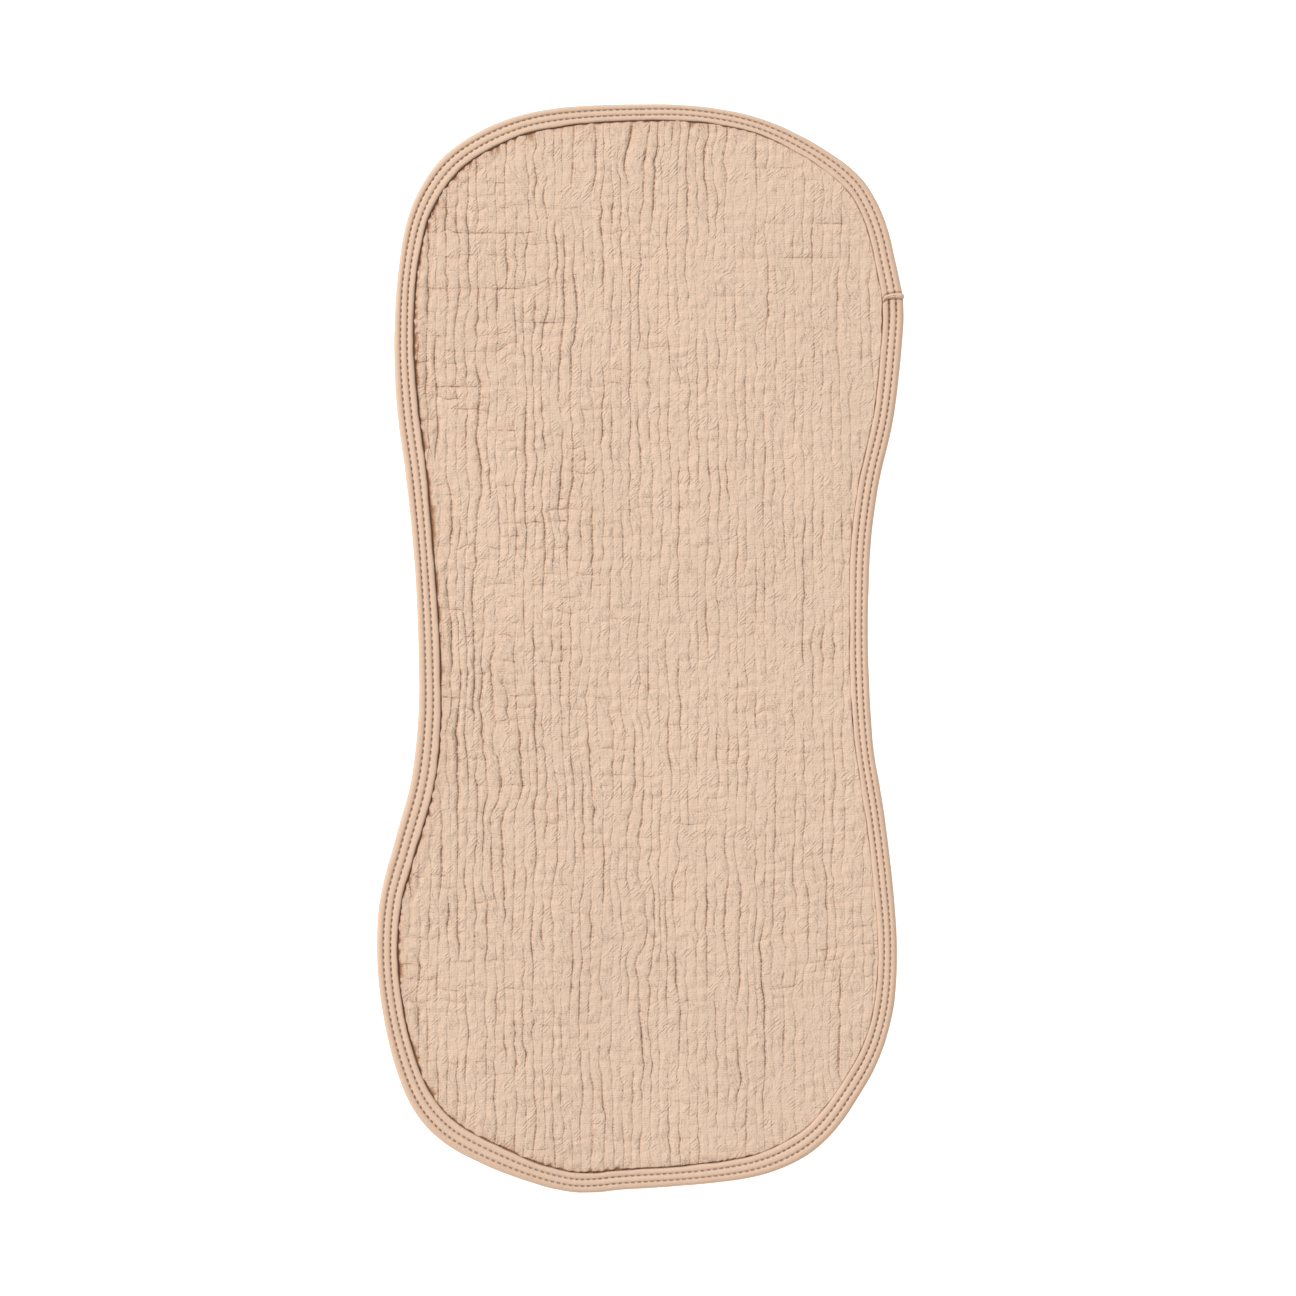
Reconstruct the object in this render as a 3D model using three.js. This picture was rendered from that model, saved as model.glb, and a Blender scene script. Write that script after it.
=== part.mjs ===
// Contoured burp cloth lying flat: a crinkled cotton muslin panel, cut to a waisted outline with rounded
// ends and bound all round in a folded tape. The tape is topstitched in two rows, which press two grooves
// into it, and its end is turned under and lapped over its start near one shoulder.
// X runs across the cloth, Y along it and Z up from the surface that it lies on. Sizes are in millimetres.
import * as THREE from "three";

// The sewn edge, from the surface up.
const tapeThickness = 0.8; // two layers of the folded tape
const clearance = 0.3; // air between the tape and the panel that it grips
const pressedEdge = 1.0; // the panel where the tape grips it
const tapeWidth = 9.6; // its usual width on the upper side, from the rim inwards
const underWidth = 9.3; // on the underside
const ridge = 0.15; // how far the tape swells between its rows of stitches
const groove = 0.35; // how far a row of stitches pulls it in
const outerRow = 3.3; // rows of stitches, from the rim
const innerRow = 6.5;
const rollTo = 1.3; // the rounded rim ends this far in
const slotFrom = 1.6; // the fold of the tape closes this far in from the rim
const edgeFrom = 2.1; // the panel's cut edge, inside the fold

// The lapped end of the tape, a narrow bar across it.
const lap = { x: 124, y: 165, length: 2.2, step: 0.5, rise: 0.5 };

// The panel.
const loft = 2.55; // height of its crowns between the creases
const creaseFloor = 1.05; // least thickness at the foot of a crease
const panelFree = 0.7; // it leaves the tape's grip this far inside the tape's lip
const panelDown = 3.2; // and touches the surface this far inside the lip
const crownsFrom = 6.2; // the crowns start this far inside the lip
const crownsFull = 12; // and reach their full relief over this distance
const crownGap = 3.4; // least distance from their start to the first puff
const rowPitch = 9; // length of one puff along a crown
const puffRise = 0.28; // how far puffs differ in height
const swell = 0.16; // height of the slow swells across the whole panel
const rowSway = 1.3; // how far a row of puffs wanders along the cloth
const puffShift = 0.9; // and each puff in it
const edgeSwell = 0.2; // height of the swells along the edge

const stationPitch = 9.6; // along the edge
const edgeSamples = 4000; // finest steps that the edge is measured in

// The outline, clockwise from the middle of the far end, as laid down and not quite even, with the width that
// the tape has there.
const outline = [
  { x: 0, y: 255, tape: 8.0 },
  { x: 28, y: 254, tape: 7.5 },
  { x: 56, y: 248.5, tape: 7.6 },
  { x: 83, y: 236, tape: 8.0 },
  { x: 104, y: 220, tape: 8.9 },
  { x: 114.6, y: 201, tape: 9.3 },
  { x: 120.5, y: 178, tape: 9.6 },
  { x: 123.5, y: 162, tape: 9.9 },
  { x: 122.2, y: 135, tape: 9.8 },
  { x: 118.6, y: 106, tape: 9.4 },
  { x: 112.4, y: 79, tape: 9.4 },
  { x: 108.5, y: 51, tape: 9.4 },
  { x: 107, y: 16, tape: 8.7 },
  { x: 107.6, y: -19, tape: 8.9 },
  { x: 109.7, y: -48, tape: 8.6 },
  { x: 114.3, y: -76, tape: 8.9 },
  { x: 118.5, y: -110, tape: 9.0 },
  { x: 120.5, y: -139, tape: 8.8 },
  { x: 119, y: -168, tape: 9.2 },
  { x: 113, y: -190.5, tape: 9.4 },
  { x: 101.5, y: -212, tape: 10.3 },
  { x: 88.5, y: -229.5, tape: 10.8 },
  { x: 74.8, y: -240, tape: 10.8 },
  { x: 56.1, y: -247.4, tape: 10.2 },
  { x: 28, y: -251.4, tape: 9.2 },
  { x: -8, y: -254, tape: 9.4 },
  { x: -29, y: -255.4, tape: 9.4 },
  { x: -47, y: -251.8, tape: 9.6 },
  { x: -75, y: -241.4, tape: 11.0 },
  { x: -94, y: -230.4, tape: 11.3 },
  { x: -106.3, y: -216.4, tape: 11.1 },
  { x: -114.5, y: -197, tape: 10.6 },
  { x: -120.5, y: -172, tape: 9.8 },
  { x: -123.4, y: -146, tape: 9.9 },
  { x: -122, y: -118, tape: 10.2 },
  { x: -115.5, y: -92, tape: 11.0 },
  { x: -107.4, y: -62, tape: 11.2 },
  { x: -104.1, y: -34, tape: 10.6 },
  { x: -103.9, y: -4, tape: 10.1 },
  { x: -105.6, y: 37, tape: 9.2 },
  { x: -109.8, y: 80, tape: 9.9 },
  { x: -114, y: 112, tape: 10.1 },
  { x: -115.3, y: 143, tape: 9.3 },
  { x: -113.4, y: 177, tape: 8.7 },
  { x: -107.5, y: 206, tape: 9.5 },
  { x: -94.5, y: 228, tape: 10.0 },
  { x: -75, y: 242.4, tape: 9.8 },
  { x: -48, y: 251.8, tape: 9.1 },
];

// The main creases along the cloth, from one side to the other. A crease is deepest at `at`, fades out over
// `reach` either way, and wanders by `sway`.
const creases = [
  { x: -113, at: -145, reach: 60, depth: 0.9, sway: 0.7 },
  { x: -106, at: -120, reach: 60, depth: 0.9, sway: 0.8 },
  { x: -99.5, at: 160, reach: 45, depth: 1.2, sway: 0.9 },
  { x: -91, at: 165, reach: 45, depth: 1.4, sway: 0.8 },
  { x: -85.5, at: -55, reach: 35, depth: 1.5, sway: 1 },
  { x: -77.8, at: 5, reach: 55, depth: 1.4, sway: 1 },
  { x: -70.5, at: -22, reach: 45, depth: 1.3, sway: 1.2 },
  { x: -63.5, at: -72, reach: 60, depth: 1.1, sway: 1.2 },
  { x: -53.5, at: 85, reach: 50, depth: 1.3, sway: 1.4 },
  { x: -45, at: -150, reach: 80, depth: 0.9, sway: 1.8 },
  { x: -36.5, at: 165, reach: 50, depth: 1.4, sway: 1.2 },
  { x: -29, at: -40, reach: 90, depth: 0.9, sway: 1.2 },
  { x: -22, at: 47, reach: 60, depth: 1.2, sway: 1.2 },
  { x: -14, at: 205, reach: 60, depth: 1.1, sway: 1.2 },
  { x: -6, at: 235, reach: 60, depth: 1.3, sway: 1.2 },
  { x: 1, at: 222, reach: 50, depth: 1.4, sway: 1.2 },
  { x: 7.5, at: 225, reach: 60, depth: 1.2, sway: 1 },
  { x: 14.5, at: -165, reach: 70, depth: 1, sway: 1.2 },
  { x: 22.5, at: 228, reach: 45, depth: 1.3, sway: 1.2 },
  { x: 31.5, at: -133, reach: 60, depth: 1.2, sway: 1.6 },
  { x: 39.5, at: 110, reach: 80, depth: 0.9, sway: 1.6 },
  { x: 47.5, at: -130, reach: 60, depth: 1.2, sway: 1.4 },
  { x: 57.5, at: -165, reach: 60, depth: 1.3, sway: 1.4 },
  { x: 66, at: 90, reach: 90, depth: 0.8, sway: 1 },
  { x: 76, at: -120, reach: 100, depth: 0.9, sway: 1 },
  { x: 86, at: -132, reach: 50, depth: 1.2, sway: 1 },
  { x: 93.5, at: 155, reach: 45, depth: 1.1, sway: 0.8 },
  { x: 102, at: -160, reach: 60, depth: 0.9, sway: 0.8 },
  { x: 110, at: 150, reach: 60, depth: 0.8, sway: 0.6 },
];

// Cross dents, where a row of tacks holds the layers down: the row of puffs it lies in, and how far it runs.
const crossDents = [
  { row: -24, from: -60, to: 70, depth: 0.4 },
  { row: -17, from: 20, to: 108, depth: 0.6 },
  { row: -11, from: -100, to: -10, depth: 0.4 },
  { row: -4, from: -60, to: 40, depth: 0.4 },
  { row: 3, from: 0, to: 90, depth: 0.5 },
  { row: 10, from: -100, to: -30, depth: 0.5 },
  { row: 15, from: -20, to: 105, depth: 0.4 },
  { row: 18, from: -102, to: -45, depth: 0.7 },
  { row: 23, from: -10, to: 85, depth: 0.4 },
];

const gripFrom = tapeThickness + clearance;
const gripTo = gripFrom + pressedEdge;
const tapeTop = gripTo + clearance + tapeThickness;

// The tape's section: distance in from the rim, and height. It runs over the top, back through the slot that
// holds the panel, and along the underside.
const tapeSection = [
  { inset: 0, z: tapeTop / 2 },
  { inset: 0.35, z: tapeTop - 0.65 },
  { inset: rollTo, z: tapeTop },
  { inset: (rollTo + outerRow) / 2, z: tapeTop + ridge },
  { inset: outerRow, z: tapeTop - groove },
  { inset: (outerRow + innerRow) / 2, z: tapeTop + ridge / 2 },
  { inset: innerRow, z: tapeTop - groove },
  { inset: (innerRow + tapeWidth) / 2, z: tapeTop + ridge / 2 },
  { inset: tapeWidth - 0.4, z: tapeTop - 0.1 },
  { inset: tapeWidth, z: gripTo + clearance + 0.3 },
  { inset: tapeWidth - 0.1, z: gripTo + clearance },
  { inset: slotFrom, z: gripTo + clearance },
  { inset: slotFrom, z: tapeThickness },
  { inset: underWidth, z: tapeThickness },
  { inset: underWidth, z: 0.2 },
  { inset: underWidth - 0.3, z: 0 },
  { inset: rollTo, z: 0 },
  { inset: 0.35, z: 0.6 },
];
const tapeOutside = 10; // the first points of the section, which the lapped end covers

// A repeatable value from -1 to 1 for a whole number.
function uneven(n) {
  const turn = Math.sin(n * 12.9898 + 4.1) * 43758.5453;
  return 2 * (turn - Math.floor(turn)) - 1;
}

// A smooth step from 0 to 1 as x goes from a to b.
function ease(x, a, b) {
  return THREE.MathUtils.smoothstep(x, a, b);
}

// How much wider or narrower the tape is than usual, at a place along the outline's curve.
function tapeShare(curve, u) {
  const place = curve.getUtoTmapping(THREE.MathUtils.euclideanModulo(u, 1)) * outline.length;
  const before = Math.floor(place) % outline.length;
  const after = (before + 1) % outline.length;
  return THREE.MathUtils.lerp(outline[before].tape, outline[after].tape, ease(place % 1, 0, 1)) / tapeWidth;
}

// Places along the edge: a point of the outline, its inward normal, the share of the tape's usual width that
// it has there, and how far the lapped end covers it.
function edgeStations() {
  const points = outline.map(({ x, y }) => new THREE.Vector3(x, y, 0));
  const curve = new THREE.CatmullRomCurve3(points, true, "centripetal");
  curve.arcLengthDivisions = edgeSamples;
  const length = curve.getLength();
  const count = Math.round(length / stationPitch);
  const even = Array.from({ length: count }, (_, i) => i / count);

  const lapPoint = new THREE.Vector3(lap.x, lap.y, 0);
  const gapTo = (u) => curve.getPointAt(u).distanceTo(lapPoint);
  const fine = Array.from({ length: edgeSamples }, (_, i) => i / edgeSamples);
  const lapAt = fine.reduce((best, u) => (gapTo(u) < gapTo(best) ? u : best), 0);

  const half = lap.length / 2;
  const lapPlaces = [-half - lap.step, -half, half, half + lap.step];
  const lapStations = lapPlaces.map((s, i) => ({ u: lapAt + s / length, cover: i === 1 || i === 2 ? 1 : 0 }));
  const clearOfLap = (u) => Math.abs(u - lapAt) * length > lap.length + 3 * lap.step;
  const plain = even.filter(clearOfLap).map((u) => ({ u, cover: 0 }));

  return [...plain, ...lapStations]
    .sort((a, b) => a.u - b.u)
    .map(({ u, cover }) => {
      const tangent = curve.getTangentAt(u);
      const inward = new THREE.Vector3(tangent.y, -tangent.x, 0);
      return { point: curve.getPointAt(u), inward, share: tapeShare(curve, u), cover };
    });
}

// The edge moved inwards, as a ring of points: across the tape, and then a distance beyond it.
function ringAt(stations, inset, beyond = 0) {
  return stations.map(({ point, inward, share }) => {
    return point.clone().addScaledVector(inward, inset * share + beyond);
  });
}

// Swaps the shared side of two neighbouring triangles wherever that makes them less narrow.
function evenTriangles(triangles, places) {
  const side = (a, b) => `${a} ${b}`;
  const angle = (at, a, b) => {
    const [toA, toB] = [places[a].clone().sub(places[at]), places[b].clone().sub(places[at])];
    return Math.abs(Math.atan2(toA.cross(toB), toA.dot(toB)));
  };
  const turned = triangles.map(([a, b, c]) => {
    const [toB, toC] = [places[b].clone().sub(places[a]), places[c].clone().sub(places[a])];
    return toB.cross(toC) > 0 ? [a, b, c] : [a, c, b];
  });
  for (let swaps = 1; swaps > 0; ) {
    swaps = 0;
    const owner = new Map();
    turned.forEach(([a, b, c], k) => {
      owner.set(side(a, b), k).set(side(b, c), k).set(side(c, a), k);
    });
    const used = new Set();
    turned.forEach((corners, k) => {
      for (let n = 0; n < 3 && !used.has(k); n += 1) {
        const [a, b, c] = [corners[n], corners[(n + 1) % 3], corners[(n + 2) % 3]];
        const other = owner.get(side(b, a));
        if (other === undefined || used.has(other)) continue;
        const d = turned[other].find((corner) => corner !== a && corner !== b);
        if (angle(c, a, b) + angle(d, a, b) < Math.PI + 1e-6) continue;
        turned[k] = [c, a, d];
        turned[other] = [d, b, c];
        used.add(k).add(other);
        swaps += 1;
      }
    });
  }
  return turned;
}

// A closed solid under construction: shared points, and faces that name them.
class Skin {
  positions = [];
  faces = [];

  point(x, y, z) {
    this.positions.push(x, y, z);
    return this.positions.length / 3 - 1;
  }

  face(a, b, c) {
    this.faces.push(a, b, c);
  }

  // A face turned so that it looks up (side 1) or down (side -1).
  level(a, b, c, side) {
    const p = this.positions;
    const [ax, ay] = [p[3 * a], p[3 * a + 1]];
    const turn = (p[3 * b] - ax) * (p[3 * c + 1] - ay) - (p[3 * b + 1] - ay) * (p[3 * c] - ax);
    if (turn * side > 0) this.face(a, b, c);
    else this.face(a, c, b);
  }

  // Faces between two rings of equal count, looking up or down.
  band(outer, inner, side) {
    outer.forEach((_, i) => {
      const next = (i + 1) % outer.length;
      this.level(outer[i], outer[next], inner[next], side);
      this.level(outer[i], inner[next], inner[i], side);
    });
  }

  // Faces that fill a ring, round a hole if there is one, looking up or down.
  fill(ring, hole, side) {
    const flat = (i) => new THREE.Vector2(this.positions[3 * i], this.positions[3 * i + 1]);
    const all = [...ring, ...hole];
    const places = all.map(flat);
    const holes = hole.length ? [hole.map(flat)] : [];
    const cut = THREE.ShapeUtils.triangulateShape(ring.map(flat), holes);
    for (const [a, b, c] of evenTriangles(cut, places)) this.level(all[a], all[b], all[c], side);
  }

  geometry() {
    const made = new THREE.BufferGeometry();
    made.setAttribute("position", new THREE.Float32BufferAttribute(this.positions, 3));
    made.setIndex(this.faces);
    made.computeVertexNormals();
    return made;
  }
}

// The folded tape: its section carried round the outline. Where the lapped end covers it, it stands proud.
function bindingGeometry(stations) {
  const skin = new Skin();
  const rings = tapeSection.map(({ inset, z }, k) =>
    stations.map(({ point, inward, share, cover }) => {
      const raised = k < tapeOutside ? cover * lap.rise : 0;
      const out = k < 3 ? raised : 0;
      const at = point.clone().addScaledVector(inward, inset * share - out);
      return skin.point(at.x, at.y, z + (k > 0 ? raised : 0));
    }),
  );
  rings.forEach((ring, k) => {
    const following = rings[(k + 1) % rings.length];
    ring.forEach((_, i) => {
      const next = (i + 1) % ring.length;
      skin.face(ring[i], following[i], following[next]);
      skin.face(ring[i], following[next], ring[next]);
    });
  });
  return skin.geometry();
}

// Depth of a main crease at a place along the cloth. Beyond its reach it goes on as a shallow one.
function creaseDepth(crease, y) {
  const shallow = 0.35 * crease.depth;
  const away = Math.abs(y - crease.at) / crease.reach;
  return THREE.MathUtils.lerp(crease.depth, shallow, ease(away, 0.3, 1.3));
}

// Where a main crease runs at a place along the cloth.
function creaseX(crease, y) {
  const slow = Math.sin(y / 37 + crease.x / 11);
  const quick = 0.3 * Math.sin(y / 13 + crease.x);
  return crease.x + crease.sway * (slow + quick);
}

// The lines that the panel's crowns are built on: creases, with a crest midway between each two.
function crownLines() {
  const lines = [];
  creases.forEach((crease, i) => {
    lines.push({ x: (y) => creaseX(crease, y), drop: (y) => creaseDepth(crease, y) });
    const next = creases[i + 1];
    if (next) lines.push({ x: (y) => (creaseX(crease, y) + creaseX(next, y)) / 2, drop: () => 0 });
  });
  return lines;
}

function dentAt(row, x) {
  const inReach = crossDents.filter((dent) => dent.row === row && x > dent.from && x < dent.to);
  return inReach.reduce((sum, dent) => sum + dent.depth, 0);
}

// Height of the panel's upper face at a grid point, which is this far inside the start of the crowns.
function crownHeight(line, index, row, x, y, within) {
  const relief = puffRise * uneven(index * 31 + row * 17) - line.drop(y) - dentAt(row, x);
  const level = loft + swell * Math.sin(x / 23 + y / 41);
  return Math.max(creaseFloor, level + relief * ease(within, 0, crownsFull));
}

// How far a point is inside a ring. Outside it the value is negative.
function depthInside(ring, x, y) {
  const point = new THREE.Vector3(x, y, ring[0].z);
  const nearest = new THREE.Vector3();
  let distance = Infinity;
  let crossings = 0;
  ring.forEach((a, i) => {
    const b = ring[(i + 1) % ring.length];
    new THREE.Line3(a, b).closestPointToPoint(point, true, nearest);
    distance = Math.min(distance, nearest.distanceTo(point));
    if (a.y > y !== b.y > y && x < ((b.x - a.x) * (y - a.y)) / (b.y - a.y) + a.x) crossings += 1;
  });
  return crossings % 2 ? distance : -distance;
}

// The crinkled panel. Its upper face is a grid of crowns and creases, joined to rings that follow the edge
// down into the tape. Its underside is flat on the surface and rises into the tape at the edge.
function panelGeometry(stations) {
  const skin = new Skin();
  const laid = (inset, beyond, height) => {
    const ring = ringAt(stations, inset, beyond);
    return ring.map((p) => skin.point(p.x, p.y, typeof height === "number" ? height : height(p)));
  };
  const nearEdge = (p) => loft - 1.5 * edgeSwell + edgeSwell * Math.sin(p.x / 4 + p.y / 7);
  const edgeCrown = (p) => loft + edgeSwell * Math.sin(p.x / 5 - p.y / 6);

  const upperEdge = laid(edgeFrom, 0, gripTo);
  const upperGrip = laid(tapeWidth, panelFree, gripTo);
  const upperRise = laid(tapeWidth, panelDown, nearEdge);
  const upperCrown = laid(tapeWidth, crownsFrom, edgeCrown);
  const lowerEdge = laid(edgeFrom, 0, gripFrom);
  const lowerGrip = laid(tapeWidth, panelFree, gripFrom);
  const lowerRest = laid(tapeWidth, panelDown, 0);

  const lines = crownLines();
  const crownRing = ringAt(stations, tapeWidth, crownsFrom);
  const rows = 2 * Math.ceil(outline[0].y / rowPitch) + 1;
  const middle = (rows - 1) / 2;
  const grid = lines.map((line, i) =>
    Array.from({ length: rows }, (_, j) => {
      const row = j - middle;
      const nominal = row * rowPitch;
      const x = line.x(nominal);
      const y = nominal + rowSway * Math.sin(x / 29 + row) + puffShift * uneven(i * 13 + row * 29);
      const within = depthInside(crownRing, x, y);
      return { x, y, z: crownHeight(line, i, row, x, y, within), kept: within > crownGap, id: -1 };
    }),
  );
  const idOf = (cell) => {
    if (cell.id < 0) cell.id = skin.point(cell.x, cell.y, cell.z);
    return cell.id;
  };

  // Cells whose four corners are all kept. An edge that only one cell uses is on the border of the grid.
  const openEdges = new Map();
  for (let i = 0; i + 1 < lines.length; i += 1) {
    for (let j = 0; j + 1 < rows; j += 1) {
      const corners = [grid[i][j], grid[i + 1][j], grid[i + 1][j + 1], grid[i][j + 1]];
      if (!corners.every((corner) => corner.kept)) continue;
      const [a, b, c, d] = corners.map(idOf);
      const slant = (i + j) % 2 === 0;
      skin.level(a, b, slant ? c : d, 1);
      skin.level(slant ? a : b, c, d, 1);
      [[a, b], [b, c], [c, d], [d, a]].forEach(([from, to]) => {
        if (!openEdges.delete(`${to} ${from}`)) openEdges.set(`${from} ${to}`, [from, to]);
      });
    }
  }
  const follows = new Map(openEdges.values());
  const border = [...openEdges.values()][0].slice(0, 1);
  while (border.length < follows.size) border.push(follows.get(border.at(-1)));

  skin.band(upperEdge, upperGrip, 1);
  skin.band(upperGrip, upperRise, 1);
  skin.band(upperRise, upperCrown, 1);
  skin.fill(upperCrown, border, 1);
  skin.band(lowerEdge, lowerGrip, -1);
  skin.band(lowerGrip, lowerRest, -1);
  skin.fill(lowerRest, [], -1);
  upperEdge.forEach((_, i) => {
    const next = (i + 1) % upperEdge.length;
    skin.face(lowerEdge[i], upperEdge[i], upperEdge[next]);
    skin.face(lowerEdge[i], upperEdge[next], lowerEdge[next]);
  });
  return skin.geometry();
}

function meshOf(name, geometry, color, roughness) {
  const mesh = new THREE.Mesh(geometry, new THREE.MeshStandardMaterial({ color, roughness, metalness: 0 }));
  mesh.name = name;
  return mesh;
}

const stations = edgeStations();
const cloth = new THREE.Group();
cloth.add(meshOf("muslin_panel", panelGeometry(stations), 0xddc1a9, 0.95));
cloth.add(meshOf("edge_binding", bindingGeometry(stations), 0xd0b197, 0.9));

// The origin is on the surface, under the middle of the cloth's extent.
const extent = new THREE.Box3().setFromObject(cloth);
const middle = extent.getCenter(new THREE.Vector3());
cloth.children.forEach((mesh) => mesh.geometry.translate(-middle.x, -middle.y, -extent.min.z));

export default cloth;
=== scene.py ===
import math

import bpy
import numpy as np
from mathutils.kdtree import KDTree
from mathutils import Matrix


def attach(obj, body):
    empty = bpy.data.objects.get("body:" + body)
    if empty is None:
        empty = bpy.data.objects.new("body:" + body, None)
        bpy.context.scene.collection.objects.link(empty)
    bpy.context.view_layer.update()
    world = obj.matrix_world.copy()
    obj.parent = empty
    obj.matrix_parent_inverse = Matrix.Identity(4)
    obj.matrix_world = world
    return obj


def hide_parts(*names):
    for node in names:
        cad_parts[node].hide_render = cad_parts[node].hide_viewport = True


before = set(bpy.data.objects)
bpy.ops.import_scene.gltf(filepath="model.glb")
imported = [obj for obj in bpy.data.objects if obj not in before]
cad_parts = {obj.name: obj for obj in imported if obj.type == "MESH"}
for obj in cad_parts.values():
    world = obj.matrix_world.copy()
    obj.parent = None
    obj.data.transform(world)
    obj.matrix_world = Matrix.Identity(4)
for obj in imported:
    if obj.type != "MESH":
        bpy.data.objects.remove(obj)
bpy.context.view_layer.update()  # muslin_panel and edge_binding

mm = 0.001  # lengths below are in millimetres, and meshes are made in metres


# Small tools

def ease(x, low, high):
    t = np.clip((x - low) / (high - low), 0, 1)
    return t * t * (3 - 2 * t)


def softNoise(x, y, across, along, seed):
    # smooth noise from -1 to 1 with a grain of its own across and along the cloth
    table = np.random.default_rng(seed).uniform(-1, 1, (256, 256))
    u, v = np.asarray(x) / across + 128, np.asarray(y) / along + 128
    i, j = np.floor(u).astype(int), np.floor(v).astype(int)
    s, t = ease(u - i, 0, 1), ease(v - j, 0, 1)
    near = table[i % 256, j % 256] * (1 - s) + table[(i + 1) % 256, j % 256] * s
    far = table[i % 256, (j + 1) % 256] * (1 - s) + table[(i + 1) % 256, (j + 1) % 256] * s
    return near * (1 - t) + far * t


def edgeNoise(s, length, seed):
    # the same along the edge only
    return softNoise(s, 0 * s, length, 1, seed)


def lineNoise(line, x, along, seed):
    # the same along numbered lines that have nothing to do with one another
    table = np.random.default_rng(seed).uniform(-1, 1, (256, 256))
    v = np.asarray(x) / along + 128
    j = np.floor(v).astype(int)
    t = ease(v - j, 0, 1)
    line = np.asarray(line).astype(int) % 256
    return table[line, j % 256] * (1 - t) + table[line, (j + 1) % 256] * t


def meshObject(name, points, faces, material):
    # points in millimetres, faces as an array of quads or a list
    mesh = bpy.data.meshes.new(name)
    mesh.from_pydata((np.asarray(points) * mm).tolist(), [], faces)
    mesh.polygons.foreach_set("use_smooth", np.ones(len(mesh.polygons), bool))
    mesh.materials.append(material)
    mesh.validate()
    mesh.update()
    piece = bpy.data.objects.new(name, mesh)
    bpy.context.collection.objects.link(piece)
    return piece


def addUv(piece, name, u, v):
    # a UV map from one value a vertex
    mesh = piece.data
    corner = np.empty(len(mesh.loops), np.int32)
    mesh.loops.foreach_get("vertex_index", corner)
    layer = mesh.uv_layers.new(name=name)
    layer.data.foreach_set("uv", np.stack([u[corner], v[corner]], 1).astype(np.float32).ravel())


def addValues(piece, name, values):
    layer = piece.data.attributes.new(name, "FLOAT", "POINT")
    layer.data.foreach_set("value", np.asarray(values, np.float32))


# The sewn edge, taken from the frame

edgeLook = {
    "rimHeight": 1.6,  # of the tape's outermost line
    "lipHeight": 2.7,  # of its inner edge on the upper side
    "lapHeight": 3.6,  # only the tape's lapped end stands higher than this
    "lapHalf": 1.35,  # half the width of the lapped end, along the edge
    "fineSteps": 24,  # steps between two points of the frame
    "heightSlack": 0.02,
    "lapReach": 20,
    "tangentSteps": 3,
}


def nodePoints(name):
    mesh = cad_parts[name].data
    flat = np.empty(len(mesh.vertices) * 3, np.float32)
    mesh.vertices.foreach_get("co", flat)
    return np.unique((flat.reshape(-1, 3) / mm).round(3).astype(float), axis=0)


def closedCurve(points, steps):
    # a smooth closed line through the points
    before, after, beyond = (np.roll(points, k, 0)[:, None] for k in (1, -1, -2))
    at, t = points[:, None], np.linspace(0, 1, steps, endpoint=False)[None, :, None]
    square = (2 * before - 5 * at + 4 * after - beyond) * t ** 2
    cube = (3 * at - before - 3 * after + beyond) * t ** 3
    return (at + 0.5 * ((after - before) * t + (square + cube))).reshape(-1, 2)


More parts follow.
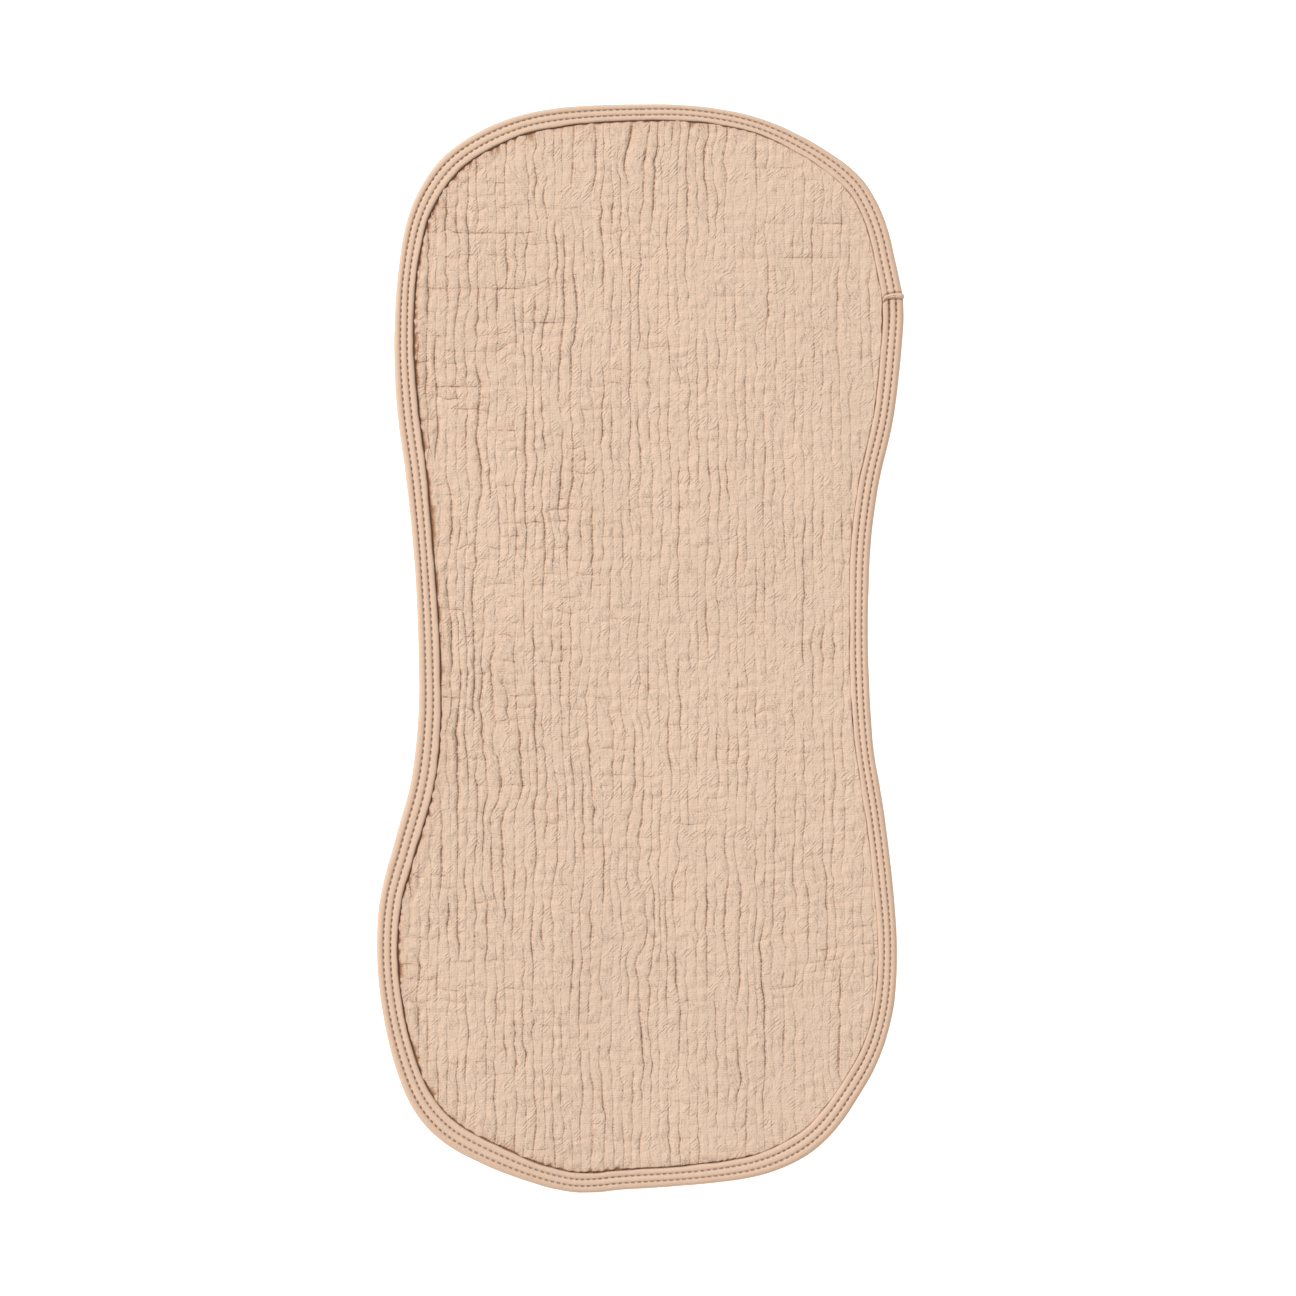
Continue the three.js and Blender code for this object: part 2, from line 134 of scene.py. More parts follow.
class SewnEdge:
    # the cloth's outline as a closed line, measured from the middle of the far end towards the left
    def __init__(self):
        look, points = edgeLook, nodePoints("edge_binding")
        lapTop = points[points[:, 2] > look["lapHeight"], :2]
        self.lapPoint = lapTop.mean(0)
        lapAcross = np.linalg.svd(lapTop - self.lapPoint)[2][0]  # from the rim inwards, or the other way
        rim = points[np.abs(points[:, 2] - look["rimHeight"]) < look["heightSlack"], :2]
        offset = rim - self.lapPoint
        beside = np.abs(offset @ np.array([-lapAcross[1], lapAcross[0]]))
        rim = rim[(beside > look["lapHalf"]) | (np.hypot(*offset.T) > look["lapReach"])]
        rim = rim[np.argsort(np.arctan2(rim[:, 0], -rim[:, 1]))]
        line = closedCurve(rim, look["fineSteps"])
        line = np.vstack([line, line[:1]])
        self.s = np.r_[0, np.cumsum(np.hypot(*np.diff(line, axis=0).T))]
        self.length = self.s[-1]
        self.line = line
        steps = look["tangentSteps"]
        tangent = np.roll(line[:-1], -steps, 0) - np.roll(line[:-1], steps, 0)
        tangent /= np.hypot(*tangent.T)[:, None]
        self.inward = np.vstack([tangent, tangent[:1]]) @ np.array([[0, 1], [-1, 0]])
        self.tree = KDTree(len(line) - 1)
        for k, (x, y) in enumerate(line[:-1]):
            self.tree.insert((x, y, 0), k)
        self.tree.balance()
        self.lapS = self.s[self.tree.find((*self.lapPoint, 0))[1]]
        lip = points[np.abs(points[:, 2] - look["lipHeight"]) < look["heightSlack"], :2]
        self.lipWidth, self.lipAt = self.inset(*lip.T)

    def at(self, s, inset=0.0):
        s = np.asarray(s) % self.length
        place = [np.interp(s, self.s, self.line[:, k]) for k in (0, 1)]
        inward = [np.interp(s, self.s, self.inward[:, k]) for k in (0, 1)]
        return place[0] + inward[0] * inset, place[1] + inward[1] * inset

    def inset(self, x, y):
        # how far each point lies inside the edge, and its place along the edge
        depth, along = np.empty(len(x)), np.empty(len(x))
        for k, point in enumerate(zip(x, y)):
            near, index, distance = self.tree.find((*point, 0))
            aside = (point[0] - near[0], point[1] - near[1])
            side = aside[0] * self.inward[index, 0] + aside[1] * self.inward[index, 1]
            depth[k], along[k] = math.copysign(distance, side), self.s[index]
        return depth, along

    def width(self, s):
        # width of the tape on the upper side
        return np.interp(s, self.lipAt, self.lipWidth, period=self.length)

    def fromLap(self, s):
        # signed distance along the edge from the tape's lapped end
        return (np.asarray(s) - self.lapS + self.length / 2) % self.length - self.length / 2


edge = SewnEdge()
print(f"edge: {edge.length:.0f} mm round, lapped end at {edge.lapPoint.round(1)}")


# Shading: groups that put out colours, masks and heights, and one material for each cloth

def newGroup(name, inputs, outputs):
    group = bpy.data.node_groups.new(name, "ShaderNodeTree")
    for label, kind, value in inputs:
        socket = group.interface.new_socket(label, in_out="INPUT", socket_type="NodeSocket" + kind)
        if value is not None:
            socket.default_value = value
    for label, kind in outputs:
        group.interface.new_socket(label, in_out="OUTPUT", socket_type="NodeSocket" + kind)
    return group, group.nodes.new("NodeGroupInput"), group.nodes.new("NodeGroupOutput")


def newNode(tree, kind, inputs=(), **settings):
    # a node with its settings, and with values or links for its inputs, by name or number
    node = tree.nodes.new(kind)
    for label, value in settings.items():
        setattr(node, label, value)
    for label, value in dict(inputs).items():
        if isinstance(value, bpy.types.NodeSocket):
            tree.links.new(value, node.inputs[label])
        else:
            node.inputs[label].default_value = value
    return node


def maths(tree, operation, a, b=0.0, clamp=False):
    return newNode(tree, "ShaderNodeMath", {0: a, 1: b}, operation=operation, use_clamp=clamp).outputs[0]


def chained(operation):
    # one operation over any number of values
    def chain(tree, first, *others):
        for other in others:
            first = maths(tree, operation, first, other)
        return first
    return chain


plus, times, minus, greatest = (chained(kind) for kind in ("ADD", "MULTIPLY", "SUBTRACT", "MAXIMUM"))


def split(tree, vector):
    return newNode(tree, "ShaderNodeSeparateXYZ", {0: vector}).outputs[:2]


def spread(tree, value, low, high, to0=0.0, to1=1.0):
    # a smooth change from one value to another
    inputs = enumerate((value, low, high, to0, to1))
    return newNode(tree, "ShaderNodeMapRange", inputs, interpolation_type="SMOOTHSTEP").outputs[0]


def fade(tree, value, low, high):
    # the same from 1 to 0
    return spread(tree, value, low, high, 1.0, 0.0)


def noise(tree, vector, detail=2.0, roughness=0.5):
    inputs = {"Vector": vector, "Scale": 1.0, "Detail": detail, "Roughness": roughness}
    return newNode(tree, "ShaderNodeTexNoise", inputs).outputs["Fac"]


def mapped(tree, vector, scale=(1, 1, 1), turn=0.0):
    # turned first, then scaled
    if turn:
        vector = newNode(tree, "ShaderNodeMapping", {"Vector": vector, "Rotation": (0, 0, turn)}).outputs[0]
    return newNode(tree, "ShaderNodeMapping", {"Vector": vector, "Scale": scale}).outputs[0]


def mixed(tree, amount, a, b):
    # the colour sockets of a mix node are its inputs 6 and 7 and its output 2
    return newNode(tree, "ShaderNodeMix", {0: amount, 6: a, 7: b}, data_type="RGBA").outputs[2]


def threadWeave():
    # threads that cross over and under, in a pattern space of one thread a unit each way
    group, given, made = newGroup(
        "threadWeave",
        [("Threads", "Vector", None), ("Slub", "Float", 0.4), ("Gap", "Float", 0.3)],
        [("Height", "Float"), ("Open", "Float")],
    )
    threads, gap = given.outputs["Threads"], given.outputs["Gap"]
    wander = newNode(group, "ShaderNodeTexNoise", {"Vector": threads, "Scale": 0.16}).outputs["Color"]
    inputs = {0: wander, 1: (1.6, 1.6, 0), 2: threads}
    shifted = newNode(group, "ShaderNodeVectorMath", inputs, operation="MULTIPLY_ADD").outputs[0]
    column, row = (maths(group, "SINE", times(group, part, math.pi)) for part in split(group, shifted))
    warp, weft = maths(group, "ABSOLUTE", column), maths(group, "ABSOLUTE", row)
    over = plus(group, times(group, column, row, 0.5), 0.5)
    top = greatest(group, warp, weft)
    slubs = times(group, noise(group, mapped(group, shifted, (0.9, 0.12, 1))), given.outputs["Slub"])
    height = plus(group, times(group, warp, weft, over, 0.5), times(group, top, 0.75), slubs)
    opened = maths(group, "DIVIDE", minus(group, gap, top), gap, clamp=True)
    group.links.new(height, made.inputs["Height"])
    group.links.new(opened, made.inputs["Open"])
    return group


def clothShade():
    # a cloth's colour: slow and fine unevenness of the dye, and painted shade, which mixes in a darker,
    # redder shade colour by the Fold amount where folds, grooves and gaps lie in shade
    group, given, made = newGroup(
        "clothShade",
        [
            ("Place", "Vector", None),
            ("Base", "Color", (0.6, 0.45, 0.33, 1)),
            ("Fold colour", "Color", (0.3, 0.18, 0.1, 1)),
            ("Fold", "Float", 0.0),
            ("Detail", "Float", 0.5),
            ("Unevenness", "Float", 0.06),
        ],
        [("Colour", "Color")],
    )
    place = given.outputs["Place"]
    slow = noise(group, mapped(group, place, (14, 9, 14)), 3.0)
    quick = noise(group, mapped(group, place, (420, 260, 400)))
    both = plus(group, times(group, slow, 0.6), times(group, quick, 0.4), given.outputs["Detail"])
    tone = plus(group, times(group, minus(group, both, 1.0), given.outputs["Unevenness"]), 1.0)
    inputs = {0: given.outputs["Base"], "Scale": tone}
    toned = newNode(group, "ShaderNodeVectorMath", inputs, operation="SCALE").outputs[0]
    # painted shade: the toned base colour mixed towards the shade colour
    shade = mixed(group, given.outputs["Fold"], toned, given.outputs["Fold colour"])
    group.links.new(shade, made.inputs["Colour"])
    return group


weaveGroup, shadeGroup = threadWeave(), clothShade()


def useGroup(tree, group, **values):
    inputs = {label.replace("_", " "): value for label, value in values.items()}
    return newNode(tree, "ShaderNodeGroup", inputs, node_tree=group)


def newMaterial(name):
    material = bpy.data.materials.new(name)
    material.use_nodes = True
    return material, material.node_tree, material.node_tree.nodes["Principled BSDF"]


def bumped(tree, *layers):
    # bumps over one another: each one's height, and its relief in millimetres
    inputs = {}
    for height, relief in layers:
        inputs.update({"Strength": 1.0, "Distance": relief * mm, "Height": height})
        inputs["Normal"] = newNode(tree, "ShaderNodeBump", inputs).outputs[0]
    return inputs["Normal"]


def attribute(tree, name):
    return newNode(tree, "ShaderNodeAttribute", attribute_name=name).outputs["Fac"]


def uvOf(tree, name):
    return newNode(tree, "ShaderNodeUVMap", uv_map=name).outputs[0]


def objectPlace(tree):
    return newNode(tree, "ShaderNodeTexCoord").outputs["Object"]


def finishCloth(tree, shader, look, layers, **shading):
    # relief, colour and surface of a cloth or thread
    tree.links.new(bumped(tree, *layers), shader.inputs["Normal"])
    # painted shade: by default the look's shade colour, mixed in by the Fold amount that each material works
    # out
    shading = {"Base": look["base"], "Fold_colour": look["fold"], **shading}
    shade = useGroup(tree, shadeGroup, Unevenness=look["unevenness"], **shading)
    tree.links.new(shade.outputs[0], shader.inputs["Base Color"])
    for label, value in look["surface"].items():
        shader.inputs[label].default_value = value


def gauzeWrinkles():
    # the wrinkles of a shrunken gauze: ripples that slant one way or the other in patches, and a grain
    group, given, made = newGroup(
        "gauzeWrinkles",
        [("Place", "Vector", None), ("Ripples", "Float", 1.0), ("Crumple", "Float", 1.0)],
        [("Height", "Float"), ("Grain", "Float")],
    )

    def texture(scale, turn=0, detail=1.0, roughness=0.5):
        # noise with so many waves in a metre each way
        place = mapped(group, given.outputs["Place"], scale, math.radians(turn))
        return noise(group, place, detail, roughness)

    patches = texture((150, 110, 60))
    rising = spread(group, texture((1250, 300, 300), -42, 0.0), 0.38, 0.62)
    falling = spread(group, texture((1150, 280, 300), 45, 0.0), 0.38, 0.62)
    risen = times(group, rising, spread(group, patches, 0.52, 0.63))
    fallen = times(group, falling, spread(group, patches, 0.46, 0.34))
    slanting = times(group, plus(group, risen, fallen), 0.28)
    upright = times(group, texture((1500, 240, 300)), 0.14)
    level = times(group, texture((230, 1900, 300)), 0.28)
    ripples = plus(group, slanting, upright, level)
    grain = texture((1500, 1100, 900), 0, 2.0, 0.6)
    height = plus(
        group, times(group, ripples, given.outputs["Ripples"]),
        times(group, texture((520, 380, 400)), given.outputs["Crumple"]), times(group, grain, 0.2),
    )
    group.links.new(height, made.inputs["Height"])
    group.links.new(grain, made.inputs["Grain"])
    return group


wrinkleGroup = gauzeWrinkles()

muslinLook = {
    "base": (0.513, 0.378, 0.285, 1),
    # painted shade for the creases, tacks and weave gaps, and a darker painted shadow for the trench beside
    # the tape
    "fold": (0.36, 0.175, 0.09, 1),
    "trenchShadow": (0.235, 0.108, 0.052, 1),
    "threads": (1900, 1700, 1),  # in a metre, along and across
    "weaveRelief": 0.03,
    "creaseRelief": 0.3,
    "ridge": 0.5,  # of the raised line beside a crease
    "wrinkleRelief": 0.88,
    # how strongly painted shade darkens the feet of the creases, the tacks and the open gaps of the weave
    "footShade": 0.53,
    "tackShade": 0.5,
    "openShade": 0.2,
    "unevenness": 0.2,
    "surface": {"Roughness": 0.95, "Specular IOR Level": 0.12, "Sheen Weight": 0.2, "Sheen Roughness": 0.5},
}


def muslinMaterial():
    material, tree, shader = newMaterial("crinkled_muslin")
    look = muslinLook
    cells, place = uvOf(tree, "ribs"), objectPlace(tree)
    weave = useGroup(tree, weaveGroup, Threads=mapped(tree, place, look["threads"]), Slub=0.25, Gap=0.35)
    wrinkles = useGroup(tree, wrinkleGroup, Place=place, Ripples=1.0, Crumple=0.45)

    # the foot of a deep crease is a line finer than the mesh, broken into short lengths; the bump sinks it
    # and painted shade darkens it, and the tacks likewise
    toRib, toRow = (maths(tree, "PINGPONG", part, 0.5) for part in split(tree, cells))
    ribDepth, fold = attribute(tree, "ribDepth"), attribute(tree, "fold")
    ribFoot = times(tree, fade(tree, toRib, 0.0, 0.09), ribDepth)
    rowFoot = times(tree, fade(tree, toRow, 0.0, 0.07), attribute(tree, "rowDepth"))
    tacked = spread(tree, noise(tree, mapped(tree, cells, (0.8, 0.8, 1))), 0.44, 0.6)
    tack = times(tree, fade(tree, toRib, 0.0, 0.12), fade(tree, toRow, 0.0, 0.09), tacked, look["tackShade"])
    broken = spread(tree, noise(tree, mapped(tree, place, (300, 800, 300)), 1.0), 0.36, 0.62, 0.25, 1.3)
    foot = plus(tree, times(tree, plus(tree, ribFoot, rowFoot), broken), tack)
    beside = times(tree, spread(tree, toRib, 0.1, 0.16), fade(tree, toRib, 0.16, 0.24))
    ridge = times(tree, beside, ribDepth, broken, look["ridge"])
    # painted shade: the crease feet and tacks, with the painted shade and shadow carried by the mesh
    darkness = plus(tree, times(tree, foot, look["footShade"]), fold)
    # painted shade in the open gaps of the weave
    opened = times(tree, weave.outputs["Open"], look["openShade"])
    layers = (
        (minus(tree, ridge, foot), look["creaseRelief"]),
        (wrinkles.outputs["Height"], look["wrinkleRelief"]),
        (weave.outputs["Height"], look["weaveRelief"]),
    )

    # the shade colour turns to the darker painted shadow where the mesh's painted shade is strong, by the
    # tape
    finishCloth(
        tree, shader, look, layers, Place=place, Detail=wrinkles.outputs["Grain"],
        Fold_colour=mixed(tree, spread(tree, fold, 0.1, 0.5), look["fold"], look["trenchShadow"]),
        Fold=maths(tree, "ADD", darkness, opened, clamp=True),
    )
    return material


tapeLook = {
    "base": (0.505, 0.362, 0.268, 1),
    # painted shade in the stitch pits, the grooves, the slot and under the lip's edge
    "fold": (0.2, 0.085, 0.035, 1),
    "threadPitch": 0.42,
    "weaveRelief": 0.05,
    "wrinkleRelief": 0.12,
    "pitRelief": 0.3,
    "slant": 0.1,  # how far a stitch leans, as a share of its pitch for each millimetre across
    # how strongly painted shade darkens the stitch pits and the grooves along the rows
    "pitShade": 0.75,
    "pressShade": 0.1,
    "unevenness": 0.2,
    "surface": {"Roughness": 0.9, "Specular IOR Level": 0.15, "Sheen Weight": 0.2, "Sheen Roughness": 0.45},
}


def tapeMaterial():
    material, tree, shader = newMaterial("binding_tape")
    look = tapeLook
    along, place = uvOf(tree, "tape"), objectPlace(tree)  # stitches along, millimetres across
    perStitch = stitchLook["pitch"] / look["threadPitch"]
    threads = mapped(tree, along, (perStitch, 1 / look["threadPitch"], 1))
    weave = useGroup(tree, weaveGroup, Threads=threads, Slub=0.3, Gap=0.2)
    wrinkles = useGroup(tree, wrinkleGroup, Place=place, Ripples=0.3, Crumple=0.5)
    toStitch = maths(tree, "PINGPONG", plus(tree, split(tree, along)[0], 0.5), 0.5)
    press = attribute(tree, "press")
    # painted shade in the stitch pits, which the bump also sinks, and along the pressed grooves
    pit = times(tree, fade(tree, toStitch, 0.18, 0.32), spread(tree, press, 0.45, 0.9))
    deep = plus(tree, times(tree, pit, look["pitShade"]), times(tree, press, look["pressShade"]))
    layers = (
        (minus(tree, 1.0, pit), look["pitRelief"]),
        (wrinkles.outputs["Height"], look["wrinkleRelief"]),
        (weave.outputs["Height"], look["weaveRelief"]),
    )
    # the tape's painted shade: pits and grooves, and the painted shade and shadow carried by the mesh
    finishCloth(
        tree, shader, look, layers, Place=place, Detail=wrinkles.outputs["Grain"],
        Fold=maths(tree, "ADD", deep, attribute(tree, "shutShade"), clamp=True),
    )
    return material


threadLook = {
    "base": (0.42, 0.25, 0.14, 1),
    # painted shade in the grooves of the twist
    "fold": (0.2, 0.11, 0.06, 1),
    "twist": 32,  # degrees
    "twistScale": 1.3,
    "twistRelief": 0.05,
    "twistShade": 0.35,
    "unevenness": 0.15,
    "surface": {"Roughness": 0.6, "Specular IOR Level": 0.3},
}


def threadMaterial():
    material, tree, shader = newMaterial("sewing_thread")
    look = threadLook
    strand = mapped(tree, uvOf(tree, "strand"), (1, 1, 1), math.radians(look["twist"]))
    inputs = {"Vector": strand, "Scale": look["twistScale"]}
    twist = newNode(tree, "ShaderNodeTexWave", inputs).outputs["Fac"]
    # painted shade along the twist's grooves, which the bump also cuts
    layers, fold = ((twist, look["twistRelief"]),), times(tree, twist, look["twistShade"])
    finishCloth(tree, shader, look, layers, Place=objectPlace(tree), Detail=twist, Fold=fold)
    return material


# The panel: ribs along the cloth and rows across it, which meet at the tacks that hold the layers together

panelLook = {
    "ribPitch": 4.5,
    "rowPitch": 5.9,
    "level": 2.72,  # height of the crowns
    "midHeight": 1.5,  # where the two faces of the cloth meet inside the tape
    "pressed": 1.75,  # height of the panel in the tape's grip
    "underPressed": 1.1,
    "border": 1.0,  # the ribs end this far inside the tape's inner edge, on rows that run along it
    "borderRows": (0.72, 0.46, 0.22, 0.0, -0.5, -2.4),
    "ribFractions": (0, 0.11, 0.29, 0.5, 0.71, 0.89),
    "rowFractions": (0, 0.14, 0.5, 0.86),
    "underRibFractions": (0, 0.2, 0.5, 0.8),
    "underRowFractions": (0, 0.25, 0.65),
    "ribDepth": (0.08, 0.5),  # of the slightest and the deepest creases along the cloth
    "rowDepth": (0.0, 0.34),
    "midDepth": 0.14,  # of the short creases along the crown of a rib
    "tackDepth": 0.2,
    "puff": 0.36,
    "swell": 0.14,
    "follow": 0.55,  # depth of the crease that follows the tape
    "followAt": 5.8,
    "gather": 0.65,  # depth of the gathers at the tape
}

# The main creases along the cloth: x, where each starts and ends, how far it leans on the way, and its depth.
mainCreases = [
    (-98.5, 196, 121, -2, 0.8), (-91, 204, 130, 0, 0.7), (-84.5, 190, 160, 0, 0.4), (-52, 222, 194, 0, 0.4),
    (-42.5, 186, 157, 0, 0.4), (-35, 188, 134, -2.5, 0.9), (-29.5, 164, 150, 0, 0.4),
    (-21, 245, 221, 0, 0.5), (-17, 188, 172, 0, 0.4), (-5, 246, 224, -2.5, 0.9), (3.5, 246, 204, -3.5, 0.9),
    (8.5, 246, 207, -2, 0.8), (15, 246, 238, 0, 0.5), (23.5, 246, 211, -1.5, 0.8),
    (32.5, 246, 221, -2.5, 0.8), (32, 209, 191, 0, 0.4), (40.5, 243, 219, 0, 0.4), (55, 241, 228, 0, 0.4),
    (60, 181, 155, 0, 0.4), (80.5, 196, 180, 0, 0.35), (92.5, 172, 138, 0, 0.7), (-74.5, 123, 98, -2, 0.8),
    (-76.5, 98, 73, 3, 0.8), (-88.5, 72, 50, 0, 0.5), (-53.5, 100, 69, 0, 0.8), (-46, 75, 45, 2, 0.5),
    (-37.5, 135, 116, 0, 0.4), (-32.5, 130, 114, 0, 0.35), (-37.5, 83, 68, 0, 0.4), (-66, 66, 38, 0, 0.5),
    (-34, 68, 34, 0, 0.4), (-22.5, 64, 30, 0, 0.8), (-5, 98, 62, 0, 0.5), (-14, 33, 13, 0, 0.4),
    (-79, 24, -15, 1.5, 0.9), (-88.5, 9, -32, 0, 0.5), (-86, -35, -74, 0, 1.1), (-75, -22, -60, 2.5, 0.9),
    (-70, -6, -30, 1.5, 0.8), (-65.5, -60, -77, 0, 0.8), (-59, -1, -65, 3.5, 0.6), (-49.5, 1, -68, 1, 0.5),
    (-32.5, 13, -36, 0, 0.4), (-25.5, -22, -76, 4, 0.6), (-2.5, -39, -63, 0, 0.4), (-93, -70, -109, 0, 0.6),
    (-69.5, -78, -110, 0, 0.5), (-64, -82, -110, 0, 0.5), (-59, -80, -106, 0, 0.4),
    (-38.5, -66, -101, 0, 0.5), (-30.5, -72, -96, 0, 0.4), (-6.5, -84, -109, 0, 0.4),
    (3, -115, -146, 0, 0.5), (-2, -146, -184, 3, 0.6), (15.5, -109, -158, 1.5, 0.5),
    (31.5, -115, -152, 0, 0.8), (39.5, -124, -139, 0, 0.4), (47, -109, -154, 0, 0.6),
    (56, -137, -193, 3, 1.0), (51, -160, -184, -1, 0.5), (45.5, -184, -201, 2, 0.5),
    (66.5, -183, -199, 0, 0.4), (72.5, -174, -199, 0, 0.4), (79, -115, -144, 0, 0.4),
    (87.5, -110, -152, 0, 0.7), (93.5, -151, -201, 0, 0.8), (50, -222, -238, 0, 0.5),
    (27.5, -228, -243, 0, 0.5), (-41, -218, -242, 2, 0.5), (-16, -220, -243, -1, 0.4),
]

# The rows of tacks that show as lines across the cloth: y, where each starts and ends, and its depth.
crossCreases = [
    (218, -83, -61, 0.2), (194.5, -86, -52, 0.4), (168.5, -99, -54, 0.4), (139, -92, -66, 0.25),
    (122.5, -98, -71, 0.4), (102, -74, -47, 0.25), (180.5, -25, -15, 0.2), (152.5, -47, -25, 0.25),
    (225, 41, 72, 0.25), (207, 23, 48, 0.25), (199, 59, 100, 0.3), (183, 44, 104, 0.3), (165, 35, 55, 0.25),
    (150, 59, 87, 0.25), (52, -27, -6, 0.25), (-113, 84, 110, 0.3), (-119, 84, 110, 0.3),
    (-131, 60, 110, 0.3), (-139, 84, 110, 0.3), (-145.5, 66, 110, 0.3), (-155.5, 60, 108, 0.25),
]


fieldLook = {
    "step": (0.5, 1.0),  # of the two maps, across and along
    "least": 0.3,  # where creases crowd together, the map still rises by this share of its usual slope
    "slope": 0.13,  # how far the rows rise to the right near the bottom
    "slopeFrom": 58,
    "ribReach": 6.5,  # how far a main crease bends the ribs on both sides
    "ribBreadth": 2.6,
    "rowReach": 8.0,
    "rowBreadth": 3.0,
    "wobble": 0.6,
}


class CrinkleField:
    # where the ribs' and rows' creases run: on the whole numbers of two maps over the cloth
    def __init__(self, seed, withMain):
        stepX, stepY = fieldLook["step"]
        self.x, self.y = np.arange(-128, 128.01, stepX), np.arange(-260, 260.01, stepY)
        x, y = np.meshgrid(self.x, self.y)
        wander = 1.0 * softNoise(x, y, 32, 60, seed) + 0.7 * softNoise(x, y, 10, 36, seed + 1)
        kinks = 0.8 * softNoise(x, y, 6, 15, seed + 2) + 0.7 * softNoise(x, y, 4.5, 5.0, seed + 5)
        self.rib = (x + wander + kinks) / panelLook["ribPitch"]
        sway = 1.2 * softNoise(x, y, 48, 26, seed + 3) + 1.0 * softNoise(x, y, 11, 12, seed + 4)
        sway = sway + 1.3 * softNoise(x, y, 4.5, 9, seed + 6)
        self.slope = fieldLook["slope"] * np.maximum(self.x - fieldLook["slopeFrom"], 0)
        rising = self.slope * ease(y, -215, -180) * ease(y, -60, -100)
        self.row = (y + sway - rising) / panelLook["rowPitch"]
        self.ribExtra, self.rowExtra = np.zeros_like(x), np.zeros_like(x)
        if withMain:
            for crease in mainCreases:
                self.lead(*crease)
            for crease in crossCreases:
                self.cross(*crease)
        self.rib = self.rising(self.rib, 1, fieldLook["least"] * stepX / panelLook["ribPitch"])
        self.row = self.rising(self.row, 0, fieldLook["least"] * stepY / panelLook["rowPitch"])

    def rising(self, phase, axis, least):
        first = np.take(phase, [0], axis)
        steps = np.maximum(np.diff(phase, axis=axis), least)
        return np.concatenate([first, first + np.cumsum(steps, axis)], axis)

    def bend(self, phase, places, step, centre, within, middle, reach):
        # bends the nearest crease of a map onto a line: phase has one row for every point of the line
        column = np.clip((centre - places[0]) / step, 0, len(places) - 2)
        k, lines = column.astype(int), np.arange(len(centre))
        here = phase[lines, k] + (phase[lines, k + 1] - phase[lines, k]) * (column - k)
        number = round(float(here[middle]))
        away = places - centre[:, None]
        phase += ((number - here) * within)[:, None] * np.exp(-(away / reach) ** 2)
        return number, away

    def lead(self, x, top, foot, lean, depth):
        # a main crease along the cloth
        within = ease(self.y, foot - 12, foot + 3) * ease(self.y, top + 12, top - 3)
        down = np.clip((top - self.y) / (top - foot), 0, 1)
        centre = x + lean * down + fieldLook["wobble"] * lineNoise(int(x * 2), self.y, 4.0, 77)
        middle = np.argmin(np.abs(self.y - 0.5 * (top + foot)))
        step, reach = fieldLook["step"][0], fieldLook["ribReach"]
        number, away = self.bend(self.rib, self.x, step, centre, within, middle, reach)
        strength = 0.72 * depth * within * (0.7 + 0.3 * lineNoise(number, self.y, 6, 5))
        self.ribExtra += strength[:, None] * np.exp(-(away / fieldLook["ribBreadth"]) ** 4)

    def cross(self, y, left, right, depth):
        # a row of tacks that shows
        within = ease(self.x, left - 6, left + 2) * ease(self.x, right + 6, right - 2)
        centre = y + 0 * self.x
        if y < -100:
            centre = y + self.slope - fieldLook["slope"] * 36
        middle = np.argmin(np.abs(self.x - 0.5 * (left + right)))
        step, reach = fieldLook["step"][1], fieldLook["rowReach"]
        away = self.bend(self.row.T, self.y, step, centre, within, middle, reach)[1]
        extra = (depth * within)[:, None] * np.exp(-(away / fieldLook["rowBreadth"]) ** 4)
        self.rowExtra += extra.T

    def look(self, values, x, y):
        # a map's value at any point
        stepX, stepY = fieldLook["step"]
        u = np.clip((x - self.x[0]) / stepX, 0, len(self.x) - 1.001)
        v = np.clip((y - self.y[0]) / stepY, 0, len(self.y) - 1.001)
        i, j = u.astype(int), v.astype(int)
        s, t = u - i, v - j
        near = values[j, i] * (1 - s) + values[j, i + 1] * s
        far = values[j + 1, i] * (1 - s) + values[j + 1, i + 1] * s
        return near * (1 - t) + far * t

    def lattice(self, ribFractions, rowFractions):
        # points on chosen fractions of every rib and row, so that the creases run along the mesh
        def numbers(phase, fractions):
            return [n + f for n in range(math.floor(phase.min()), math.ceil(phase.max())) for f in fractions]

        rows, ribs = numbers(self.row, rowFractions), numbers(self.rib, ribFractions)
        ys = np.stack([np.interp(rows, self.row[:, i], self.y) for i in range(len(self.x))], 1)
        grid = np.empty((len(rows), len(ribs), 2))
        for k in range(len(rows)):
            across = self.look(self.rib, self.x, ys[k])
            grid[k, :, 0] = np.interp(ribs, across, self.x)
            grid[k, :, 1] = np.interp(grid[k, :, 0], self.x, ys[k])
        return grid, np.array(ribs), np.array(rows)


def valley(t, breadth):
    # a crease's section, from its foot out to the next crown
    rest = 1 - np.clip(t, 0, 1)
    return breadth * rest ** 1.7 + (1 - breadth) * rest ** 3.6


def between(bounds, share):
    return bounds[0] + (bounds[1] - bounds[0]) * share


def gatherPhase(along, seed):
    # whole numbers at the gathers where the cloth goes under the tape
    return along / 5.6 + 0.6 * edgeNoise(along, 9, seed + 20)


